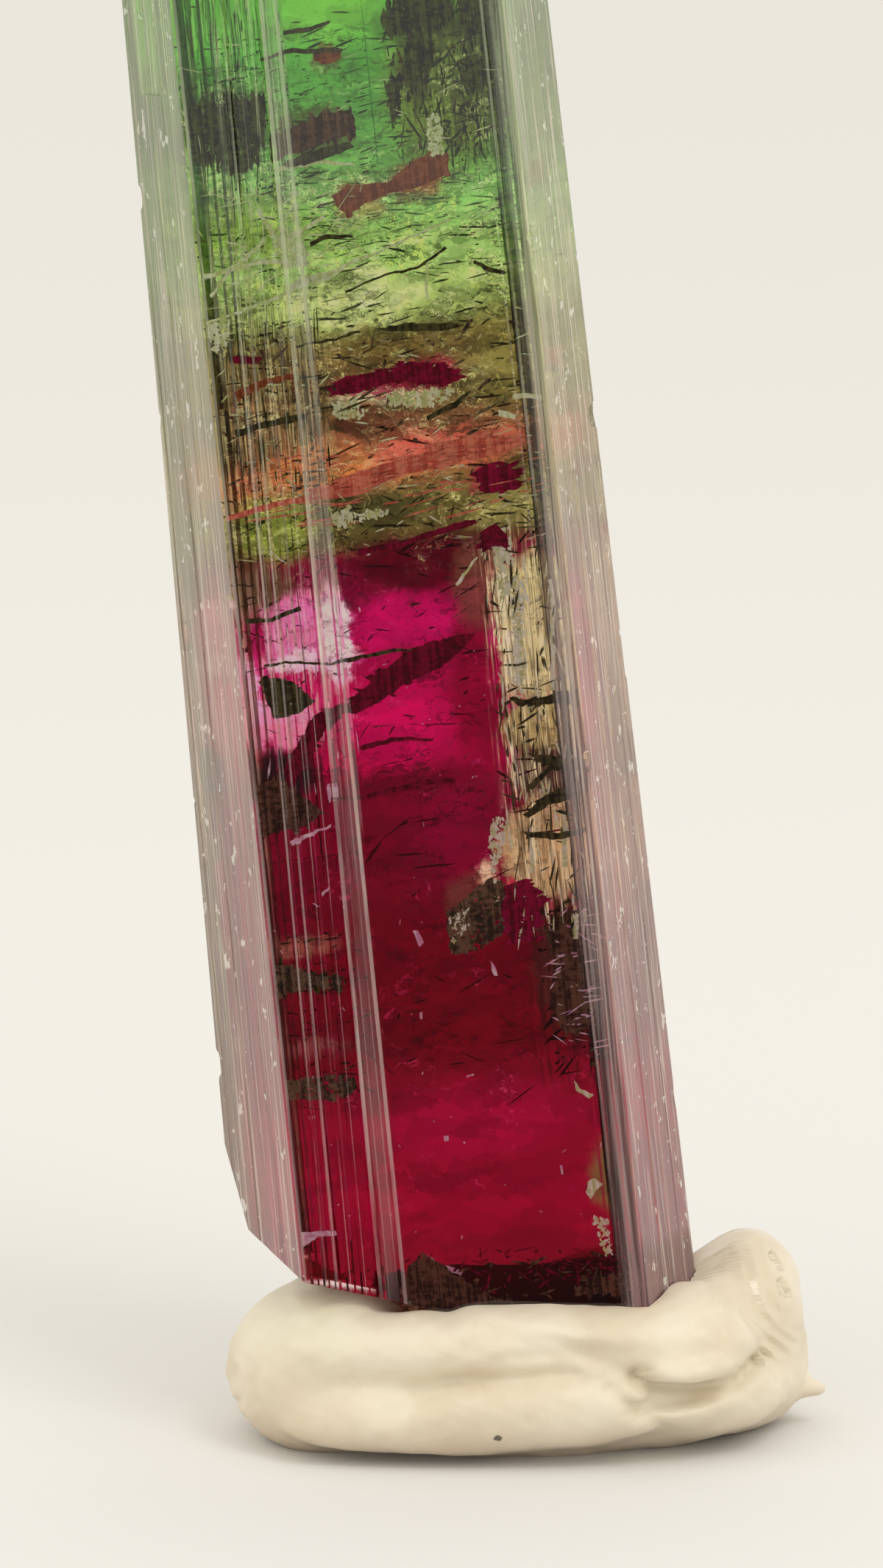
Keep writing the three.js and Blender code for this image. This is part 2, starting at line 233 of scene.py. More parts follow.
# Patches inside the crystal: (x, z), half sizes, colour as seen, strength, softness
ZONE_PLACES = (
    ((-0.7, 60.8), (2.0, 1.3), (116, 184, 76), 0.9, 0.5),
    ((3.9, 57.0), (2.5, 3.2), (104, 120, 44), 0.9, 0.35),
    ((3.9, 59.8), (2.5, 1.0), (54, 58, 22), 0.85, 0.3),
    ((2.6, 57.6), (0.7, 1.0), (62, 70, 26), 0.8, 0.4),
    ((4.6, 56.2), (0.5, 1.2), (70, 78, 28), 0.8, 0.4),
    ((5.6, 58.6), (0.8, 2.6), (48, 56, 26), 0.8, 0.5),
    ((-5.4, 56.5), (1.7, 1.5), (30, 36, 24), 0.95, 0.35),
    ((-1.8, 55.8), (1.8, 0.75), (66, 50, 32), 0.95, 0.12),
    ((-1.0, 58.95), (0.6, 0.35), (92, 46, 22), 0.9, 0.3),
    ((-0.2, 52.7), (1.15, 0.6), (132, 74, 42), 0.95, 0.12),
    ((2.35, 53.3), (1.15, 0.75), (132, 74, 42), 0.95, 0.12),
    ((-4.9, 51.6), (2.4, 1.5), (116, 138, 58), 0.8, 0.5),
    ((0.3, 50.7), (3.0, 1.3), (154, 192, 120), 0.7, 0.5),
    ((-1.0, 48.5), (3.0, 1.1), (188, 204, 146), 0.9, 0.25),
    ((5.2, 45.4), (1.6, 2.2), (128, 120, 70), 0.8, 0.5),
    ((0.4, 44.7), (2.9, 0.55), (104, 2, 36), 0.97, 0.2),
    ((2.0, 45.2), (1.0, 0.55), (156, 6, 62), 0.9, 0.3),
    ((1.5, 46.3), (3.4, 0.6), (96, 78, 46), 0.85, 0.4),
    ((-0.1, 44.2), (2.2, 0.32), (206, 180, 160), 0.85, 0.3),
    ((-0.6, 43.2), (2.6, 0.65), (88, 46, 36), 0.85, 0.4),
    ((-5.4, 43.8), (1.7, 1.4), (116, 80, 62), 0.8, 0.5),
    ((-2.8, 41.4), (2.6, 0.75), (186, 110, 66), 0.9, 0.4),
    ((2.3, 41.8), (2.9, 0.75), (202, 88, 84), 0.92, 0.35),
    ((4.0, 40.3), (0.8, 0.6), (146, 14, 54), 0.9, 0.4),
    ((-1.8, 39.5), (2.6, 0.8), (60, 58, 30), 0.85, 0.4),
    ((-5.2, 39.1), (1.6, 1.3), (124, 142, 58), 0.85, 0.4),
    ((5.0, 39.0), (1.9, 0.9), (134, 128, 74), 0.85, 0.4),
    ((0.9, 37.0), (3.0, 1.2), (74, 0, 18), 0.95, 0.3),
    ((-6.2, 36.4), (1.5, 1.1), (84, 70, 44), 0.85, 0.4),
    ((-0.1, 34.5), (2.4, 1.2), (178, 6, 90), 0.9, 0.3),
    # The next five pink-white patches are a fracture's flash: painted reflection of light caught by
    # the fracture.
    ((-4.3, 34.5), (1.9, 1.7), (212, 96, 160), 0.95, 0.12),
    ((-3.1, 34.1), (0.7, 2.1), (255, 214, 240), 0.97, 0.2),
    ((-4.2, 33.2), (1.9, 0.5), (250, 190, 226), 0.95, 0.2),
    ((-6.95, 31.6), (0.45, 2.0), (250, 150, 206), 0.95, 0.3),
    ((-5.6, 30.6), (1.2, 1.1), (232, 124, 168), 0.95, 0.15),
    ((-0.9, 30.3), (2.2, 1.9), (178, 4, 82), 0.9, 0.3),
    ((2.75, 31.1), (1.2, 3.6), (122, 0, 42), 0.9, 0.35),
    ((-5.9, 28.4), (1.6, 1.05), (24, 12, 16), 0.97, 0.25),
    ((1.6, 25.2), (2.6, 2.6), (116, 2, 46), 0.7, 0.6),
    ((3.0, 35.7), (0.9, 1.8), (112, 70, 56), 0.6, 0.3),
    ((5.9, 33.6), (2.0, 3.4), (190, 186, 134), 0.95, 0.12),
    ((4.2, 34.2), (0.4, 3.1), (230, 224, 176), 0.9, 0.4),
    ((5.4, 29.4), (1.8, 1.2), (160, 150, 100), 0.95, 0.15),
    ((5.6, 27.3), (2.1, 1.05), (50, 32, 26), 0.95, 0.2),
    ((5.2, 24.1), (2.2, 2.2), (172, 150, 110), 0.95, 0.12),
    ((1.6, 22.0), (1.2, 1.3), (96, 54, 46), 0.7, 0.3),
    ((2.4, 23.2), (0.35, 0.6), (216, 190, 160), 0.85, 0.4),
    ((3.3, 21.6), (0.7, 1.3), (176, 0, 44), 0.95, 0.2),
    ((5.5, 18.6), (1.5, 2.9), (70, 34, 28), 0.9, 0.3),
    ((-6.0, 20.8), (1.6, 0.5), (128, 74, 64), 0.8, 0.4),
    ((-5.9, 16.3), (1.6, 0.42), (120, 64, 68), 0.8, 0.4),
    ((6.4, 9.4), (1.0, 1.6), (112, 92, 56), 0.9, 0.3),
    ((0.6, 12.4), (3.8, 1.4), (150, 4, 58), 0.6, 0.6),
)
# Pale ribs on the front face: x at the foot, drift, half width, strength
RIB_FROST = (
    (-7.24, 0.004, 0.09, 0.5),
    (-6.45, 0.0155, 0.06, 0.55),
    (-5.97, 0.015, 0.06, 0.45),
    (-4.1, 0.0115, 0.11, 0.75),
    (-3.05, 0.004, 0.11, 0.75),
    (-3.75, 0.009, 0.03, 0.5),
    (-3.35, 0.006, 0.03, 0.45),
    (-3.57, 0.0075, 0.5, 0.15),
    (-4.75, 0.0135, 0.03, 0.4),
    (-5.4, 0.0145, 0.03, 0.3),
    (6.35, -0.0103, 0.08, 0.4),
    (6.8, -0.0108, 0.1, 0.5),
    (7.28, -0.0114, 0.08, 0.6),
)
# Colours of the sheets inside, as seen: darker tone, lighter tone, roughness
VEIL_COLOURS = {
    # Flash: pink-white sheets painted near white as the reflection that fracture planes catch.
    "painted_flash": ((232, 150, 196), (255, 232, 250), 0.3),
    # Pale: pale crackle whose lighter tone is raised to stand in for glints: partly real colour,
    # partly painted glints.
    "pale_and_glints": ((214, 220, 150), (255, 255, 240), 0.3),
    "dark": ((46, 42, 22), (96, 88, 54), 0.5),
    "smudge": ((26, 30, 9), (92, 102, 40), 0.5),
    "umber": ((60, 30, 24), (124, 86, 68), 0.5),
    "maroon": ((92, 2, 28), (146, 8, 58), 0.5),
    "rust": ((132, 60, 34), (178, 98, 62), 0.5),
    "brown": ((60, 46, 34), (132, 106, 82), 0.5),
    "salmon": ((222, 98, 88), (255, 156, 134), 0.5),
    "magenta": ((110, 1, 36), (168, 8, 74), 0.5),
}
# Broken sheets inside: kind, then how deep each lies (0 shallowest) and its outline as (x, z)
VEILS = (
    # Flash sheets: painted reflection off fracture planes.
    ("painted_flash", (
        (2, ((-5.9, 26.1), (-4.1, 26.6), (-4.1, 26.5), (-5.8, 25.9))),
        (3, ((-4.1, 28.4), (-3.8, 28.4), (-3.8, 27.6), (-4.1, 27.5))),
        (2, ((-1.1, 21.7), (-0.9, 21.7), (-0.7, 21.2), (-0.9, 21), (-1, 21.4))),
        (2, ((-1.1, 18.1), (-1, 18.1), (-1, 17.8), (-1.1, 17.8))),
        (2, ((0.5, 15.1), (0.8, 15.2), (0.8, 15.1), (0.5, 15))),
        (2, ((-0.6, 12.6), (-0.4, 12.6), (-0.4, 12.4), (-0.6, 12.4))),
        (2, ((-4.7, 23.7), (-4.4, 23.9), (-4.4, 23.8), (-4.7, 23.5))),
        (2, ((4.2, 10.9), (4.3, 10.9), (4.3, 10.5), (4.2, 10.5))),
        (2, ((-8, 8.8), (-7.2, 9), (-5.8, 8.9), (-5.8, 8.7), (-7.2, 8.6), (-7.9, 8.3))),
        (2, ((-1.9, 7.5), (-1.3, 7), (-0.4, 6.6), (-0.5, 6.4), (-1.4, 6.8), (-2, 7.3))),
        (2, ((2.1, 20), (2.3, 19.7), (2.4, 19.4), (2.2, 19.4), (2.1, 19.7))),
    )),
    # Pale sheets: pale crackle, partly painted glints.
    ("pale_and_glints", (
        (1, (
            (-7.2, 48.5), (-3.9, 49.3), (-2.9, 50), (-2, 50), (0.8, 51), (3.6, 51.9), (3.6, 51.8),
            (0.8, 50.9), (-1.9, 49.8), (-2.9, 49.7), (-3.8, 49.2), (-7.2, 48.4),
        )),
        (1, ((-3.6, 49.7), (-2.7, 50), (-1.8, 50.1), (-1.6, 49.9), (-2, 49.7), (-3, 49.5))),
        (1, ((5.1, 14.5), (5.4, 14.2), (5.9, 13.9), (5.7, 13.7), (5.2, 14.1))),
        (1, ((-6.9, 50.6), (-4.5, 50.9), (-2.5, 50.7), (-2.5, 50.6), (-4.6, 50.7), (-6.9, 50.4))),
        (1, ((-4.3, 53.2), (-3.8, 52.1), (-2.5, 50.6), (-2.7, 50.5), (-4, 51.9), (-4.4, 53.1))),
        (1, ((-3.9, 51.5), (-1.7, 52.5), (-1.6, 52.4), (-3.8, 51.3))),
        (1, ((-6.9, 49.6), (-4.4, 51.9), (-4.3, 51.8), (-6.8, 49.5))),
        (2, ((-4, 52.1), (-3.4, 52.2), (-2.5, 51.1), (-3, 50.2), (-3.7, 50.7))),
        (1, ((3, 56.3), (3.5, 56.3), (3.5, 54.6), (2.9, 54.6))),
        (1, ((6.7, 56.4), (7, 56.2), (6.9, 54.7), (6.7, 54.7))),
        (2, ((-2.3, 44.6), (-1.1, 44.7), (-0.7, 44.2), (-1, 43.9), (-2.1, 44))),
        (2, ((0.2, 44.8), (3, 44.7), (2.8, 44.2), (1.7, 44), (0.2, 44.2))),
        (2, ((-3.5, 54.7), (-1.5, 54.9), (-0.3, 54.6), (-0.3, 54.5), (-1.5, 54.7), (-3.5, 54.5))),
        (1, (
            (-2.8, 39.9), (-1.9, 40.2), (-1.5, 39.8), (-0.3, 40), (-0.3, 39.6), (-1.6, 39.5),
            (-2.6, 39.4),
        )),
        (1, ((-7.3, 48.3), (-6.2, 48.6), (-6.1, 48.4), (-6.4, 47.3), (-7, 47.1), (-7.1, 47.5))),
        (1, ((5.5, 44.2), (6.7, 44.1), (6.6, 43.9), (5.4, 44))),
        (1, ((4.8, 43.6), (5.6, 43.3), (5.5, 43.1), (4.8, 43.3))),
        (1, ((2.4, 50.2), (2.5, 50.2), (2.4, 48.6), (2.3, 48.6))),
        (2, ((4.2, 38.5), (4.8, 38.6), (4.8, 37.2), (4.5, 35.8), (4, 35.6), (4, 37.2))),
        (2, ((4.6, 36.5), (5.1, 36.2), (4.6, 31.4), (4.3, 31.2), (4.4, 34))),
        (2, ((6.2, 36.2), (6.4, 36.2), (6, 31.4), (5.8, 31.4))),
        (2, ((6.8, 35.3), (7.1, 35.3), (6.7, 31.7), (6.5, 31.7))),
        (2, ((2.9, 26.4), (3.4, 26.1), (3.1, 24.8), (2.6, 23.8), (2.6, 25))),
        (2, ((5.7, 26.1), (5.9, 26.1), (5.8, 23.8), (5.6, 23.8))),
        (2, ((4.3, 25.7), (4.4, 25.7), (4.3, 23.8), (4.1, 23.8))),
        (1, ((2.2, 36.4), (2.7, 37), (3.2, 37.5), (3.2, 37.4), (2.8, 36.9), (2.3, 36.3))),
        (2, ((2.4, 23.6), (2.9, 23.5), (2.7, 22.4), (2.5, 22.5))),
        (2, ((0.5, 22.1), (1.4, 22.6), (1.3, 21.4), (0.5, 20.9))),
        (2, ((5.3, 10.1), (5.6, 10.2), (5.9, 9.9), (5.4, 9.3), (5.2, 9.6))),
        (2, ((5.3, 8.5), (6, 8.2), (6, 6.8), (5.7, 6.7), (5.5, 7.8))),
        (2, ((5.8, 21.8), (6.1, 21.8), (5.9, 20.7), (5.7, 20.7))),
    )),
    ("dark", (
        (0, ((-3.4, 47.2), (-2.4, 47.3), (-0.8, 47.5), (-0.8, 47.4), (-2.4, 47.2), (-3.4, 47.1))),
        (0, ((0, 47.5), (1.3, 47.7), (3.1, 47.5), (3.8, 47.3), (3.1, 47.2), (1.7, 47.3), (0.1, 47.4))),
        (0, (
            (-1.1, 49.3), (-0.2, 49.6), (0.7, 49.8), (1.9, 50.1), (3.2, 50.7), (3.3, 50.6), (2, 50),
            (0.7, 49.7), (-0.2, 49.5), (-1.1, 49.2),
        )),
        (1, ((-3.3, 54.9), (-1.6, 55.3), (-0.3, 55.5), (-0.1, 55.3), (-1.5, 54.8), (-3.1, 54.7))),
        (0, ((-2.4, 51.5), (-1.8, 51.7), (-0.6, 51.6), (-0.6, 51.5), (-1.8, 51.5), (-2.4, 51.3))),
        (0, ((4.4, 50.1), (5, 49.7), (5.6, 49.4), (5.5, 49.3), (4.9, 49.5), (4.3, 50))),
        (0, ((-2.6, 60.4), (-1.5, 60.4), (-0.7, 60.7), (-0.6, 60.6), (-1.5, 60.2), (-2.6, 60.2))),
        (0, ((-3.7, 59.3), (-2.2, 59.6), (-0.2, 59.4), (-0.3, 59.2), (-2.2, 59.4), (-3.7, 59.2))),
        (0, ((-6.3, 43.8), (-4.6, 44.1), (-3.3, 44.3), (-3.3, 44), (-4.6, 43.8), (-6.3, 43.5))),
        (0, ((1.7, 43.6), (3, 44.2), (3.6, 44.6), (3.6, 44.5), (3.1, 44), (1.8, 43.4))),
        (5, ((-2.8, 45.3), (-2, 45.3), (-0.1, 45.8), (-0, 45.7), (-2, 45))),
        (1, ((-6.4, 33.3), (-5.2, 32.9), (-4.2, 32), (-5.1, 31.5), (-5.9, 31.4), (-6.3, 32.3))),
        (0, (
            (-6.2, 33.8), (-3.3, 33.6), (-1.7, 33.8), (0.1, 33.9), (0.1, 33.8), (-1.7, 33.6),
            (-3.3, 33.5), (-6.2, 33.7),
        )),
        (0, (
            (4.1, 31.2), (4.8, 31.2), (6.2, 31.3), (7.8, 31.4), (7, 30.6), (6.2, 30.8), (5.7, 30.9),
            (4.3, 31),
        )),
        (0, (
            (4.1, 26.3), (5.1, 27), (6.2, 27.4), (7.4, 27.8), (7.2, 27.1), (6.1, 26.8), (5.3, 26.6),
            (4.3, 26.1),
        )),
        (0, ((4.6, 28.9), (5.5, 28.8), (6.6, 28.4), (7.5, 28.3), (7.2, 27.9), (6.1, 28), (5, 28.5))),
        (0, ((4.4, 27.4), (5.9, 28.7), (6, 28.6), (4.6, 27.2))),
        (0, ((4, 25.5), (5.6, 25.4), (6.8, 25.5), (6.5, 25.2), (5.3, 25.1), (4.2, 25.3))),
        (0, ((-6.8, 35.8), (-5.7, 35.8), (-4.4, 36.1), (-4.4, 35.9), (-5.7, 35.6), (-6.8, 35.6))),
    )),
    ("smudge", (
        (3, (
            (1.8, 61.2), (2.7, 61.4), (3.5, 61.7), (4.5, 61.5), (4.3, 60.4), (3.5, 59.6), (2.5, 59.7),
            (1.5, 60.2),
        )),
        (2, ((4.8, 61.5), (6.3, 61.4), (6.4, 60.2), (5.6, 59.6), (4.9, 60.2))),
        (4, ((2.5, 59.4), (3.7, 59.2), (3.3, 57.9), (2.5, 57.5), (2.2, 58.6))),
        (4, ((4.7, 58.2), (5.9, 58.4), (6.1, 57.5), (5.2, 57.2), (4.7, 57.6))),
        (4, ((1.5, 58.2), (2.1, 57.9), (1.8, 56.1), (1.5, 56.3))),
        (4, (
            (-7, 20.7), (-6.4, 20.5), (-5.7, 20.1), (-4.2, 19.8), (-4.3, 19.5), (-5.6, 19.7),
            (-7.2, 19.5),
        )),
        (3, (
            (-6.9, 57.5), (-5.9, 57.8), (-4.6, 57.9), (-3.6, 57.5), (-3.8, 56.5), (-4.1, 55),
            (-5.4, 54.8), (-6.9, 55.2),
        )),
    )),
    ("umber", (
        (3, (
            (-3.6, 56), (-2.6, 56.3), (-1.1, 56.8), (-0.1, 56.8), (0, 56.3), (-0.1, 55.8),
            (-1.2, 55.6), (-2.2, 55.3), (-3.4, 55.2),
        )),
        (1, (
            (-7.3, 28.5), (-6.6, 28.7), (-6, 28.8), (-5.4, 28.4), (-5, 28), (-4.3, 27.1), (-4.9, 26.8),
            (-5.6, 26.5), (-6.1, 26.6), (-6.9, 26.4), (-7.5, 27.1),
        )),
        (3, (
            (4.8, 21.8), (5.5, 22), (6.4, 21.9), (6.7, 21.2), (6.9, 19.8), (6.4, 17.9), (6.1, 16.8),
            (5.4, 16.5), (4.9, 16.8), (4.5, 17.7), (4.8, 19.8),
        )),
        (1, (
            (-3.1, 6.2), (-2.8, 7), (-2, 7.4), (-1.1, 6.9), (-0.5, 6.2), (0.6, 5.4), (1.5, 5.1),
            (-3, 5.1),
        )),
        (1, ((4.2, 5.4), (5.2, 5.9), (6.8, 6), (7.4, 5.5), (6.9, 5.1), (4.2, 5.1))),
    )),
    ("maroon", (
        (1, (
            (-3.4, 31.5), (-1.8, 32.6), (-0.1, 33.8), (1.5, 34.1), (2.9, 34.3), (2.3, 33.6),
            (1.1, 32.9), (-0, 32.5), (-1.2, 31.9), (-2.5, 31.3),
        )),
        (2, ((-4.3, 31.4), (-3, 31.9), (-3.3, 31.1), (-4.4, 30), (-5.6, 28.4), (-5.9, 29.1))),
        (1, (
            (-3.9, 27.8), (-2.3, 27.8), (-0, 28.2), (1.3, 28.1), (1.3, 27.9), (-0, 27.9), (-2.3, 27.6),
            (-3.9, 27.7),
        )),
        (1, (
            (-1.7, 38.3), (0.3, 38.5), (2.4, 39), (3.3, 39.1), (3.4, 38.9), (2.4, 38.7), (0.3, 38.3),
            (-1.7, 38),
        )),
        (1, ((3.5, 38.5), (4.2, 38.8), (4.7, 38.3), (4.6, 37.7), (4.1, 37.9), (3.5, 37.7))),
        (1, ((-2.6, 29.8), (-1.2, 30.1), (0.6, 29.9), (0.6, 29.8), (-1.2, 29.9), (-2.5, 29.6))),
        (1, ((-6.2, 47), (-4.9, 46.8), (-5.2, 46.5), (-6.1, 46.7))),
    )),
    ("rust", (
        (2, (
            (-1.3, 53.3), (-0.6, 53.7), (0.5, 53.6), (1.1, 53.6), (1.4, 53.9), (2, 54.3), (3, 54.7),
            (3.7, 54.6), (3.7, 53.8), (2.7, 53.4), (1.4, 53.1), (0.2, 52.8), (-0.6, 52.4),
            (-1.1, 52.7),
        )),
        (2, (
            (-1.5, 59.3), (-1.1, 59.5), (-0.7, 59.5), (-0.3, 59.3), (-0.3, 59), (-0.6, 58.8),
            (-1.1, 58.8), (-1.4, 59),
        )),
        (2, ((-6.3, 45.5), (-5, 45.9), (-3.8, 46), (-3.8, 45.8), (-5.1, 45.5), (-6.2, 45.1))),
    )),
    ("brown", (
        (2, (
            (0.5, 22.3), (1.5, 23), (2.4, 23.7), (3, 23.4), (2.8, 22.3), (2.7, 21.1), (1.7, 20.6),
            (0.5, 20.5),
        )),
        (2, (
            (-7.1, 20.7), (-6.4, 20.6), (-5.7, 20.1), (-4.2, 19.9), (-4.3, 19.4), (-5.6, 19.6),
            (-7.2, 19.4),
        )),
        (2, ((-7.3, 15.7), (-5.8, 15.7), (-4.4, 15.6), (-4.2, 15.1), (-5.2, 14.6), (-7.1, 14.9))),
    )),
    ("salmon", (
        (1, (
            (-3.5, 40.8), (-2.6, 41.2), (-0.1, 41.7), (1.6, 42.2), (2.8, 42.6), (4.1, 42.7),
            (5.1, 42.3), (5.1, 41.9), (3.6, 41.8), (1.5, 41.4), (-0.2, 41.2), (-2.5, 40.7),
        )),
        (0, (
            (-7.2, 40.3), (-5, 40.6), (-2.5, 40.9), (-0.2, 41.2), (-0.1, 41.1), (-2.4, 40.7),
            (-4.9, 40.4), (-7.2, 40),
        )),
    )),
    ("magenta", (
        (2, (
            (-2.2, 45.3), (-1.2, 45.6), (-0.1, 45.8), (1.1, 46), (2.3, 45.8), (3.3, 45.3), (2.9, 45),
            (1.9, 45.1), (0.2, 45.3), (-1, 45), (-2, 44.9),
        )),
        (2, ((3.6, 41), (4.5, 41.3), (5.2, 41.2), (5.1, 40.3), (4.4, 40.2), (3.9, 40.3))),
        (3, ((3.1, 23.2), (3.8, 23.4), (4.4, 22.6), (4.3, 21.6), (4, 20.8), (3.1, 20.8), (2.8, 21.6))),
    )),
)
# Cracks: seed, stretch, lowest and highest height, colour, strength, thickness, where broken up
CRACKS = (
    (0.0, (0.3, 0.5, 2.4), 38.0, 60.0, (34, 34, 16), 0.9, 0.034, 0.47),
    (23.0, (0.9, 0.5, 1.4), 38.0, 58.0, (44, 44, 22), 0.85, 0.024, 0.5),
    (31.0, (0.5, 0.5, 3.4), 50.0, 59.0, (52, 66, 26), 0.85, 0.03, 0.46),
    (40.0, (0.28, 0.5, 3.0), 38.0, 59.0, (240, 244, 204), 0.85, 0.022, 0.48),
    (61.0, (1.1, 0.5, 1.0), 37.0, 54.0, (240, 244, 170), 0.85, 0.018, 0.52),
    (70.0, (1.4, 0.5, 0.8), 47.5, 53.0, (226, 246, 120), 0.8, 0.02, 0.5),
    (80.0, (0.4, 0.5, 1.7), 14.0, 37.0, (40, 1, 10), 0.85, 0.028, 0.5),
    (99.0, (0.7, 0.5, 1.2), 8.0, 37.0, (236, 130, 176), 0.6, 0.009, 0.58),
    (120.0, (1.6, 0.5, 0.5), 21.0, 38.0, (70, 40, 34), 0.5, 0.02, 0.5),
)
ZONE_GAIN = 1.6
HEART_FLATTER = 0.945
# Fractures and flat zones lie along planes that dip towards the back
VEIL_DIP = 0.119
FLAKE_THICKNESS = 0.02
SHEET_DEPTH = 0.19
LAYER_STEP = 0.06
CRUMB_LIFT = 0.05
LINE_WIDTH = 0.3
EDGE_MARGIN = 0.12
SMALLEST_INSET = 0.2
NOISE_SEED = 7
# How each kind is broken: solid behind its crumbs, crumbs per mm2, their size, how upright,
# spread of their directions
VEIL_LOOKS = {
    # Flash crumbs: painted reflection.
    "painted_flash": (False, 60, 0.12, 4.0, 0.3),
    # Pale crumbs: pale crackle, partly painted glints.
    "pale_and_glints": (False, 110, 0.075, 2.2, 0.9),
    "dark": (True, 14, 0.14, 0.4, 0.4),
    "smudge": (False, 42, 0.17, 5.0, 0.12),
    "maroon": (True, 14, 0.2, 0.25, 0.3),
    "umber": (True, 22, 0.16, 4.0, 0.3),
    "rust": (True, 20, 0.1, 0.6, 0.6),
    "brown": (False, 110, 0.1, 1.8, 0.8),
    "salmon": (False, 26, 0.3, 0.07, 0.12),
    "magenta": (False, 60, 0.2, 0.2, 0.3),
}
# Loose splinters: count, x, z and depth ranges, length range, width, angle and its spread
SWARMS = {
    "dark": (
        (200, (-7, 6.8), (38, 49), (0.2, 7), (0.2, 1.8), 0.05, 4, 14),
        (150, (-7, 6.8), (49, 61), (0.2, 7), (0.2, 1.5), 0.045, 4, 12),
        (90, (2.2, 6.8), (54.5, 62), (0.3, 3), (0.3, 1.6), 0.08, 88, 30),
        (90, (-7, -2.6), (54, 70), (0.2, 1), (0.5, 3.0), 0.035, 88, 3),
        (80, (-7, -2.4), (41, 48), (0.2, 0.4), (0.5, 2.4), 0.04, 87, 3),
        (110, (3.4, 7.2), (21, 38), (0.2, 0.45), (0.3, 1.8), 0.05, 87, 10),
        (50, (3.4, 7.2), (21, 38), (0.2, 0.45), (0.3, 1.4), 0.06, 0, 25),
        (60, (-7, 3), (28, 38), (0.2, 3), (0.3, 1.6), 0.04, 10, 20),
        (60, (-7, 7), (61, 70), (0.3, 6), (0.2, 1.4), 0.05, 5, 15),
    ),
    "smudge": (
        (320, (-4.5, 6.8), (50.5, 60), (0.2, 5), (0.15, 1.3), 0.03, 4, 10),
        (160, (1.5, 6.8), (53.5, 62), (0.2, 3), (0.15, 1.0), 0.04, 88, 12),
        (120, (-7, 6.8), (38, 41), (0.2, 5), (0.15, 1.2), 0.04, 6, 25),
        (90, (4.2, 7), (15, 22), (0.3, 3), (0.2, 1.4), 0.07, 20, 50),
        (40, (-7, -3), (15.5, 22), (0.3, 3), (0.2, 1.4), 0.05, 8, 20),
    ),
    # Pale splinters: pale crackle, partly painted glints.
    "pale_and_glints": (
        (130, (-7, 6.8), (38, 48), (0.2, 0.45), (0.15, 1.2), 0.035, 5, 25),
        (90, (-7, 0), (49, 54), (0.2, 0.45), (0.3, 2.0), 0.03, 15, 30),
        (60, (-7, 6.8), (47, 60), (0.2, 0.45), (0.15, 1.2), 0.03, 5, 25),
        (120, (3.4, 7.2), (21, 38.5), (0.2, 0.45), (0.3, 2.2), 0.05, 87, 8),
        (40, (-7, -2.5), (50, 70), (0.2, 0.45), (0.6, 3.0), 0.025, 88, 2),
    ),
    # Flash splinters: painted glints of reflected light.
    "painted_flash": (
        (70, (-7, 6.6), (8, 37), (0.2, 0.45), (0.06, 0.3), 0.03, 60, 60),
        (24, (-7, -2.2), (28, 36), (0.2, 0.4), (0.3, 1.6), 0.03, 88, 4),
        (60, (4.6, 7.1), (15.6, 22), (0.2, 0.4), (0.2, 1.1), 0.035, 8, 24),
    ),
    "salmon": ((70, (-7, 6.6), (39.4, 42.6), (0.2, 0.45), (0.4, 2.6), 0.045, 6, 6),),
    "maroon": (
        (60, (-7, 6.6), (14, 38), (0.3, 4), (0.3, 2.2), 0.05, 6, 25),
        (90, (-3, 7), (5.6, 7.4), (0.2, 0.5), (0.2, 1.3), 0.06, 8, 40),
    ),
    "umber": (
        (70, (-3, 7), (5.2, 6.8), (0.2, 0.5), (0.2, 1.2), 0.07, 8, 40),
        (120, (1.6, 6.9), (54.5, 61), (0.2, 2), (0.2, 1.2), 0.05, 86, 25),
    ),
    "brown": ((70, (-7, 6.6), (41, 48), (0.2, 0.5), (0.2, 1.2), 0.08, 10, 40),),
}
# Tones up the crystal: the pale rind, the clear outside, and its frosted grooves
RIND_TONES = (
    (0.0, (196, 140, 134)),
    (20.0, (206, 168, 156)),
    (36.0, (204, 186, 160)),
    (46.0, (196, 196, 150)),
    (58.0, (176, 188, 146)),
    (74.0, (168, 182, 142)),
)
CLEAR_TONES = (
    (0.0, (236, 204, 204)),
    (26.0, (242, 220, 222)),
    (36.0, (244, 230, 228)),
    (42.0, (238, 234, 214)),
    (52.0, (230, 238, 206)),
    (74.0, (212, 234, 188)),
)
FROST_TONES = (
    (0.0, (204, 140, 146)),
    (20.0, (208, 168, 160)),
    (36.0, (208, 186, 166)),
    (46.0, (202, 200, 162)),
    (58.0, (178, 188, 150)),
    (74.0, (168, 182, 142)),
)
TONES_TOP = 74.0
